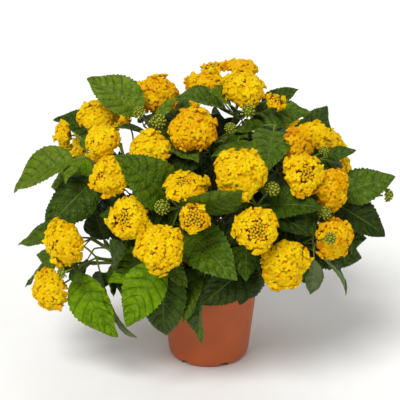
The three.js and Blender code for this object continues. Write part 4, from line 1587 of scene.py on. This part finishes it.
def add_receptacle(pile, head, inner, dome, opening, base):
    """What the florets stand on, with a ring of bracts below. Under the florets in bud it is brown, a
    painted shade for the gaps between them.
    """
    axis, first, second = head_axes(head)
    at = np.array(head.at)
    circle = circle_of(RECEPTACLE.sides, -1) @ np.array([first, second])
    tilts = np.array(RECEPTACLE.tilts)
    reaches = inner * np.where(tilts < opening, RECEPTACLE.heart_share, RECEPTACLE.share)
    rings = []
    for tilt, reach in zip(tilts.tolist(), reaches.tolist()):
        rings.append(at + reach * (circle * math.sin(tilt) + axis * dome * math.cos(tilt)))
    top = rings.pop(0)[0]
    foot = at - axis * HEAD.cone * head.across / 2
    faces, bands, _ = loft_faces(len(rings), RECEPTACLE.sides)
    # Under the florets in bud the receptacle is painted brown as shade; elsewhere it takes the base
    # finish
    tones = np.where(tilts[bands] < opening, finish("receptacle"), finish(base))
    pile.add(loft_points(top, rings, foot), faces, tones)
    root = foot + axis * BRACT.lift
    reach = BRACT.reach * head.across / 2
    thick = axis * BRACT.thick
    for way in circle_of(BRACT.count) @ np.array([first, second]):
        side = np.cross(axis, way) * BRACT.half_width
        middle = root + way * reach * BRACT.middle - axis * BRACT.drop
        tip = root + way * reach * BRACT.tip + axis * reach * BRACT.rise
        ring = [middle + side, middle + thick, middle - side, middle - thick]
        pile.add(loft_points(root, [ring], tip), loft_faces(1, len(ring))[0], finish("bract"))


class LANTANA_OT_flower_heads(bpy.types.Operator):
    """Grow the flower heads, joined into one mesh for each side of the plant."""

    bl_idname = "lantana.flower_heads"
    bl_label = "Flower heads"

    def execute(self, context):
        look = context.scene.lantana_flowers
        numbers = itertools.count()

        def add_heads(pile, plant):
            for head in plant.heads:
                add_head(pile, head, look, next(numbers))

        add_sides("flower_heads_", petal_materials(look), add_heads)
        return {"FINISHED"}


SPIKES = SimpleNamespace(
    seed=300,
    sides=6,
    profile=((0, 0), (0.6, 0.15), (0.75, 0.5), (1.0, 0.8), (0.7, 0.95), (0, 1)),
    pale_band=3,  # the first band of the pale tip
    size=np.array([1.05, 1.05, 2.6]),  # half widths and length, on a bud head of the usual size
    spacing=0.04 * FULL_TURN,
    wobble=0.12,
    sunk=0.4,
    core=0.72,  # of a bud head's radius, that its spikes stand on
)


def add_bud_head(pile, head, random):
    """A bud head: unripe florets, narrow spindles with a pale blunt tip, all over a green core."""
    points, faces, bands = lathe(SPIKES.profile, circle_of(SPIKES.sides))
    tones = np.where(bands >= SPIKES.pale_band, finish("green_bud"), finish("bract"))
    tilts, turns = dome_layout(1.0, 0.0, DOME_END, SPIKES.spacing)
    places, frames = dome_frames(head, 1.0, tilts, turns, random, SPIKES.wobble)
    core = head.across / 2 * SPIKES.core
    sunk = np.array(head.at) + places * (core - SPIKES.sunk)
    finishes = np.repeat(tones[None], len(tilts), axis=0)
    pile.add_copies(points, faces, finishes, frames * SPIKES.size * (head.across / BUD.across), sunk)
    core_head = SimpleNamespace(at=head.at, axis=head.axis, across=2 * core)
    add_receptacle(pile, core_head, core / RECEPTACLE.share, 1.0, 0.0, "bract")


class LANTANA_OT_bud_heads(bpy.types.Operator):
    """Grow the heads that are still green buds."""

    bl_idname = "lantana.bud_heads"
    bl_label = "Bud heads"

    def execute(self, context):
        materials = petal_materials(context.scene.lantana_flowers)
        pile = Pile()
        for plant in grown_plant().sprays.values():
            for number, head in enumerate(plant.buds):
                add_bud_head(pile, head, np.random.default_rng(SPIKES.seed + number))
        piece_from(pile, "bud_heads", materials)
        return {"FINISHED"}


# Pot and potting mix

POT_SIDES = 144
CORNER_STEPS = 8
WALL_STEPS = 10
SHOULDER = POT.height - POT.rim_depth
FOOT_INSET = 1.5  # where the flat of the foot starts to ease up
FLOOR_INSET = 12  # from the foot in to the floor's inner ring of points
KNEE = (-0.9, 1.6)  # the bend of the bottom corner, from the corner's radius and the floor
# The rim's eased edges, out and up from the shoulder, its underside, its top and its inner lip
SHOULDER_STEP = (0.5, -0.2)
RIM_FOOT = ((-0.6, 0), (-0.1, 0.5), (0, 1.2))
RIM_TOP = ((0, -1.2), (-0.3, -0.4), (-0.9, 0))
RIM_LIP = ((0.4, -0.3), (0, -1.0))
WALL_END = 0.8  # below the shoulder


def stepped(radius, height, steps):
    return [(radius + out, height + up) for out, up in steps]


def pot_profile():
    """Out under the foot, up the wall to the rolled rim, and down inside to the floor's middle."""
    foot = np.array([POT.foot_radius, 0.0])
    knee = np.array([POT.corner_radius + KNEE[0], KNEE[1]])
    corner = np.array([POT.corner_radius, POT.corner_height])
    profile = [(0, 0), (POT.foot_radius - FLOOR_INSET, 0), (POT.foot_radius - FOOT_INSET, 0)]
    for share in np.linspace(0, 1, CORNER_STEPS):
        rest = 1 - share
        profile.append(tuple(rest**2 * foot + 2 * share * rest * knee + share**2 * corner))
    for share in np.linspace(0, 1, WALL_STEPS)[1:]:
        radius = between((POT.corner_radius, POT.shoulder_radius), share)
        profile.append((radius, between((POT.corner_height, SHOULDER - WALL_END), share)))
    return [
        *profile,
        *stepped(POT.shoulder_radius, SHOULDER, [SHOULDER_STEP]),
        *stepped(POT.rim_radius, SHOULDER, RIM_FOOT),
        *stepped(POT.rim_radius, POT.height, RIM_TOP),
        *stepped(POT.rim_radius - POT.wall, POT.height, RIM_LIP),
        (POT.shoulder_radius - POT.wall, SHOULDER),
        (POT.corner_radius - POT.wall, POT.corner_height),
        (POT.foot_radius - POT.wall, POT.floor),
        (POT.foot_radius - FLOOR_INSET, POT.floor),
        (0, POT.floor),
    ]


def cut_drains(piece):
    """Cuts the drain arches through the foot of the pot."""
    pile = Pile()
    for index in range(DRAIN.count):
        angle = DRAIN.turn + index / DRAIN.count * FULL_TURN
        way = Vector((math.sin(angle), -math.cos(angle), 0))
        middle = way * POT.foot_radius
        reach = way * (DRAIN.reach / 2)
        arch = Bend(middle - reach, middle, middle + reach)
        pile.add(*tube(arch, np.full(2, DRAIN.radius), DRAIN.sides))
    mesh = bpy.data.meshes.new("drains")
    faces = np.concatenate(pile.faces)
    mesh.from_pydata((np.concatenate(pile.points) * MM).tolist(), [], faces.tolist())
    cutter = bpy.data.objects.new("drains", mesh)
    bpy.context.scene.collection.objects.link(cutter)
    cut = piece.modifiers.new("drains", "BOOLEAN")
    cut.operation = "DIFFERENCE"
    cut.solver = "EXACT"
    cut.object = cutter
    bpy.context.view_layer.update()
    shaped = bpy.data.meshes.new_from_object(piece.evaluated_get(bpy.context.evaluated_depsgraph_get()))
    piece.modifiers.remove(cut)
    piece.data = shaped
    shaped.shade_smooth()
    shaped.set_sharp_from_angle(angle=SHARPEST_MOULDED)
    bpy.data.objects.remove(cutter)
    bpy.data.meshes.remove(mesh)


class LANTANA_OT_pot(bpy.types.Operator):
    """Turn the pot, with its rolled rim and eased corner, and cut its drain arches."""

    bl_idname = "lantana.pot"
    bl_label = "Pot"

    def execute(self, context):
        pile = Pile()
        points, faces, _ = lathe(pot_profile(), circle_of(POT_SIDES))
        pile.add(points, faces)
        material = pot_material(context.scene.lantana_pot)
        piece = piece_from(pile, "pot_wall", [material], ["pot"])
        cut_drains(piece)
        return {"FINISHED"}


SOIL_SIDES = 96
SOIL_STEPS = 22
SOIL_EDGE = SOIL.top - SOIL.edge_drop
SOIL_MARGIN = 4  # what lies on the mix keeps so far from the wall
SOIL_RIM = POT.shoulder_radius - POT.wall - SOIL_MARGIN
INNER_COLLAR = 0.6  # of the collar
LUMP_SIZE = 6
LUMP_SINK = 0.3  # of a lump's height
LUMP_NOISE = (1.0, 2.0, 3)  # how much weaker and finer each layer of the noise is, and how many
# The spread is the power of a random share, of the way out from the collar
CRUMB = SimpleNamespace(
    seed=55, count=220, spread=0.5, sides=6, sizes=(0.6, 2.1), size_power=2,
    radii=np.array([0.55, 1.0, 0.6]), lumps=(0.75, 1.25),
)
FIBRE = SimpleNamespace(
    count=26, spread=1, sides=5, radii=np.full(6, 0.25), half_length=4, rise=1.5, lift=0.3, inset=6
)


def soil_radius(height):
    share = (height - POT.corner_height) / (SHOULDER - POT.corner_height)
    return between((POT.corner_radius, POT.shoulder_radius), share) - POT.wall - 2 * SOIL.gap


def soil_profile():
    """Out over the pot's floor, up its wall and in over the top to the collar and the axis."""
    bottom = POT.floor + SOIL.gap
    profile = [
        (0, bottom),
        (POT.foot_radius - POT.wall - 2 * SOIL.gap, bottom),
        (soil_radius(POT.corner_height), POT.corner_height + SOIL.gap),
    ]
    for share in np.linspace(0, 1, SOIL_STEPS):
        radius = between((soil_radius(SOIL_EDGE), SOIL.collar), share)
        profile.append((radius, between((SOIL_EDGE, SOIL.top), share)))
    return [*profile, (SOIL.collar * INNER_COLLAR, SOIL.top), (0, SOIL.top)]


def soil_spot(random, reach, spread):
    """A place on the potting mix, at a random share of the way out from the collar."""
    angle = random.random() * FULL_TURN
    radius = between((SOIL.collar, reach), random.random() ** spread)
    height = between((SOIL.top, SOIL_EDGE), (radius - SOIL.collar) / (SOIL_RIM - SOIL.collar))
    return Vector((radius * math.cos(angle), radius * math.sin(angle), height))


class LANTANA_OT_potting_mix(bpy.types.Operator):
    """Fill the pot with lumpy potting mix, with crumbs and fibres on it."""

    bl_idname = "lantana.potting_mix"
    bl_label = "Potting mix"

    def execute(self, context):
        look = context.scene.lantana_pot
        points, faces, _ = lathe(soil_profile(), circle_of(SOIL_SIDES))
        for spot in points[1:-1]:
            if spot[2] > SOIL_EDGE:
                lump = noise.fractal(Vector(spot) / LUMP_SIZE, *LUMP_NOISE) - LUMP_SINK
                spot[2] += look.lump / MM * lump
        pile = Pile()
        pile.add(points, faces)
        random = np.random.default_rng(CRUMB.seed)
        for _ in range(CRUMB.count):
            centre = soil_spot(random, SOIL_RIM, CRUMB.spread)
            size = between(CRUMB.sizes, random.random() ** CRUMB.size_power)
            way = Vector(random.standard_normal(3)).normalized() * size
            shape = between(CRUMB.lumps, random.random((len(CRUMB.radii), CRUMB.sides)))
            crumb = Bend(centre - way, centre, centre + way)
            pile.add(*tube(crumb, CRUMB.radii * size, CRUMB.sides, shape))
        for _ in range(FIBRE.count):
            centre = soil_spot(random, SOIL_RIM - FIBRE.inset, FIBRE.spread) + UP * FIBRE.lift
            way = Quaternion(UP, random.random() * FULL_TURN) @ Vector((FIBRE.half_length, 0, 0))
            fibre = Bend(centre - way, centre + UP * FIBRE.rise, centre + way)
            pile.add(*tube(fibre, FIBRE.radii, FIBRE.sides))
        piece_from(pile, "potting_mix_fill", [peat_material(look)], ["potting_mix"])
        return {"FINISHED"}


# Stage

FLOOR_DROP = 0.0002  # metres, clear of the pot's foot
CLIP_END = 100  # metres
# The way that each distant soft light shines, and the degrees that it spans
LIGHTS = {
    "key": ((0.3, 0.62, -0.78), 28),
    "fill": ((-0.8, 0.5, -0.5), 50),
    "back": ((-0.2, -0.8, -0.8), 60),
}


class LANTANA_OT_stage(bpy.types.Operator):
    """Lay a plain pale floor, set the lights and the white surround, and place the camera."""

    bl_idname = "lantana.stage"
    bl_label = "Stage"

    def execute(self, context):
        look = context.scene.lantana_stage
        objects = context.scene.collection.objects
        half = look.floor_size / 2
        mesh = bpy.data.meshes.new("floor")
        corners = [(-half, -half), (half, -half), (half, half), (-half, half)]
        mesh.from_pydata([(x, y, -FLOOR_DROP) for x, y in corners], [], [(0, 1, 2, 3)])
        mesh.materials.append(floor_material(look))
        floor = bpy.data.objects.new("floor", mesh)
        objects.link(floor)
        floor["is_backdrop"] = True
        for name, (way, softness) in LIGHTS.items():
            light = bpy.data.lights.new(name, "SUN")
            light.angle = math.radians(softness)
            light.energy = getattr(look, name + "_strength")
            lamp = bpy.data.objects.new(name, light)
            lamp.rotation_euler = Vector(way).to_track_quat("-Z", "Y").to_euler()
            objects.link(lamp)
        world = bpy.data.worlds.new("white_surround")
        world.use_nodes = True
        tree = world.node_tree
        tree.nodes.clear()
        glow = add_node(tree, "Background", {"Color": (1, 1, 1, 1), "Strength": look.surround})
        add_node(tree, "OutputWorld", {"Surface": glow.outputs["Background"]})
        context.scene.world = world
        context.scene.view_settings.view_transform = "Standard"
        camera = bpy.data.cameras.new("camera")
        camera.lens = look.lens
        camera.sensor_width = VIEW.sensor
        camera.clip_end = CLIP_END
        eye = bpy.data.objects.new("camera", camera)
        eye.location = EYE * MM
        eye.rotation_euler = (math.pi / 2 - VIEW.elevation, 0, 0)
        objects.link(eye)
        context.scene.camera = eye
        return {"FINISHED"}


GROUPS = (
    ("lantana_leaves", LANTANA_PG_leaves, "Leaves"),
    ("lantana_flowers", LANTANA_PG_flowers, "Flowers"),
    ("lantana_wood", LANTANA_PG_wood, "Wood"),
    ("lantana_pot", LANTANA_PG_pot, "Pot"),
    ("lantana_stage", LANTANA_PG_stage, "Stage"),
)
OPERATORS = (
    LANTANA_OT_pot,
    LANTANA_OT_potting_mix,
    LANTANA_OT_wood,
    LANTANA_OT_stalks,
    LANTANA_OT_leaves,
    LANTANA_OT_flower_heads,
    LANTANA_OT_bud_heads,
    LANTANA_OT_stage,
)


class LANTANA_PT_panel(bpy.types.Panel):
    """Settings and steps for the potted lantana."""

    bl_idname = "LANTANA_PT_panel"
    bl_label = "Potted Lantana"
    bl_space_type = "VIEW_3D"
    bl_region_type = "UI"
    bl_category = "Lantana"

    def draw(self, context):
        for attribute, group, title in GROUPS:
            box = self.layout.box()
            box.label(text=title)
            for name in group.__annotations__:
                box.prop(getattr(context.scene, attribute), name)
        for operator in OPERATORS:
            self.layout.operator(operator.bl_idname)


def register():
    for attribute, group, _ in GROUPS:
        bpy.utils.register_class(group)
        setattr(bpy.types.Scene, attribute, bpy.props.PointerProperty(type=group))
    for operator in OPERATORS:
        bpy.utils.register_class(operator)
    bpy.utils.register_class(LANTANA_PT_panel)


def unregister():
    bpy.utils.unregister_class(LANTANA_PT_panel)
    for operator in reversed(OPERATORS):
        bpy.utils.unregister_class(operator)
    for attribute, group, _ in reversed(GROUPS):
        delattr(bpy.types.Scene, attribute)
        bpy.utils.unregister_class(group)


def main():
    register()
    bpy.ops.lantana.pot()
    bpy.ops.lantana.potting_mix()
    bpy.ops.lantana.wood()
    bpy.ops.lantana.stalks()
    bpy.ops.lantana.leaves()
    bpy.ops.lantana.flower_heads()
    bpy.ops.lantana.bud_heads()
    bpy.ops.lantana.stage()
    sizes = {"cad": CAD_BOX, "visual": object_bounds()}
    {name: [[float(v) for v in corner] for corner in box] for name, box in sizes.items()}


if __name__ == "__main__":
    main()
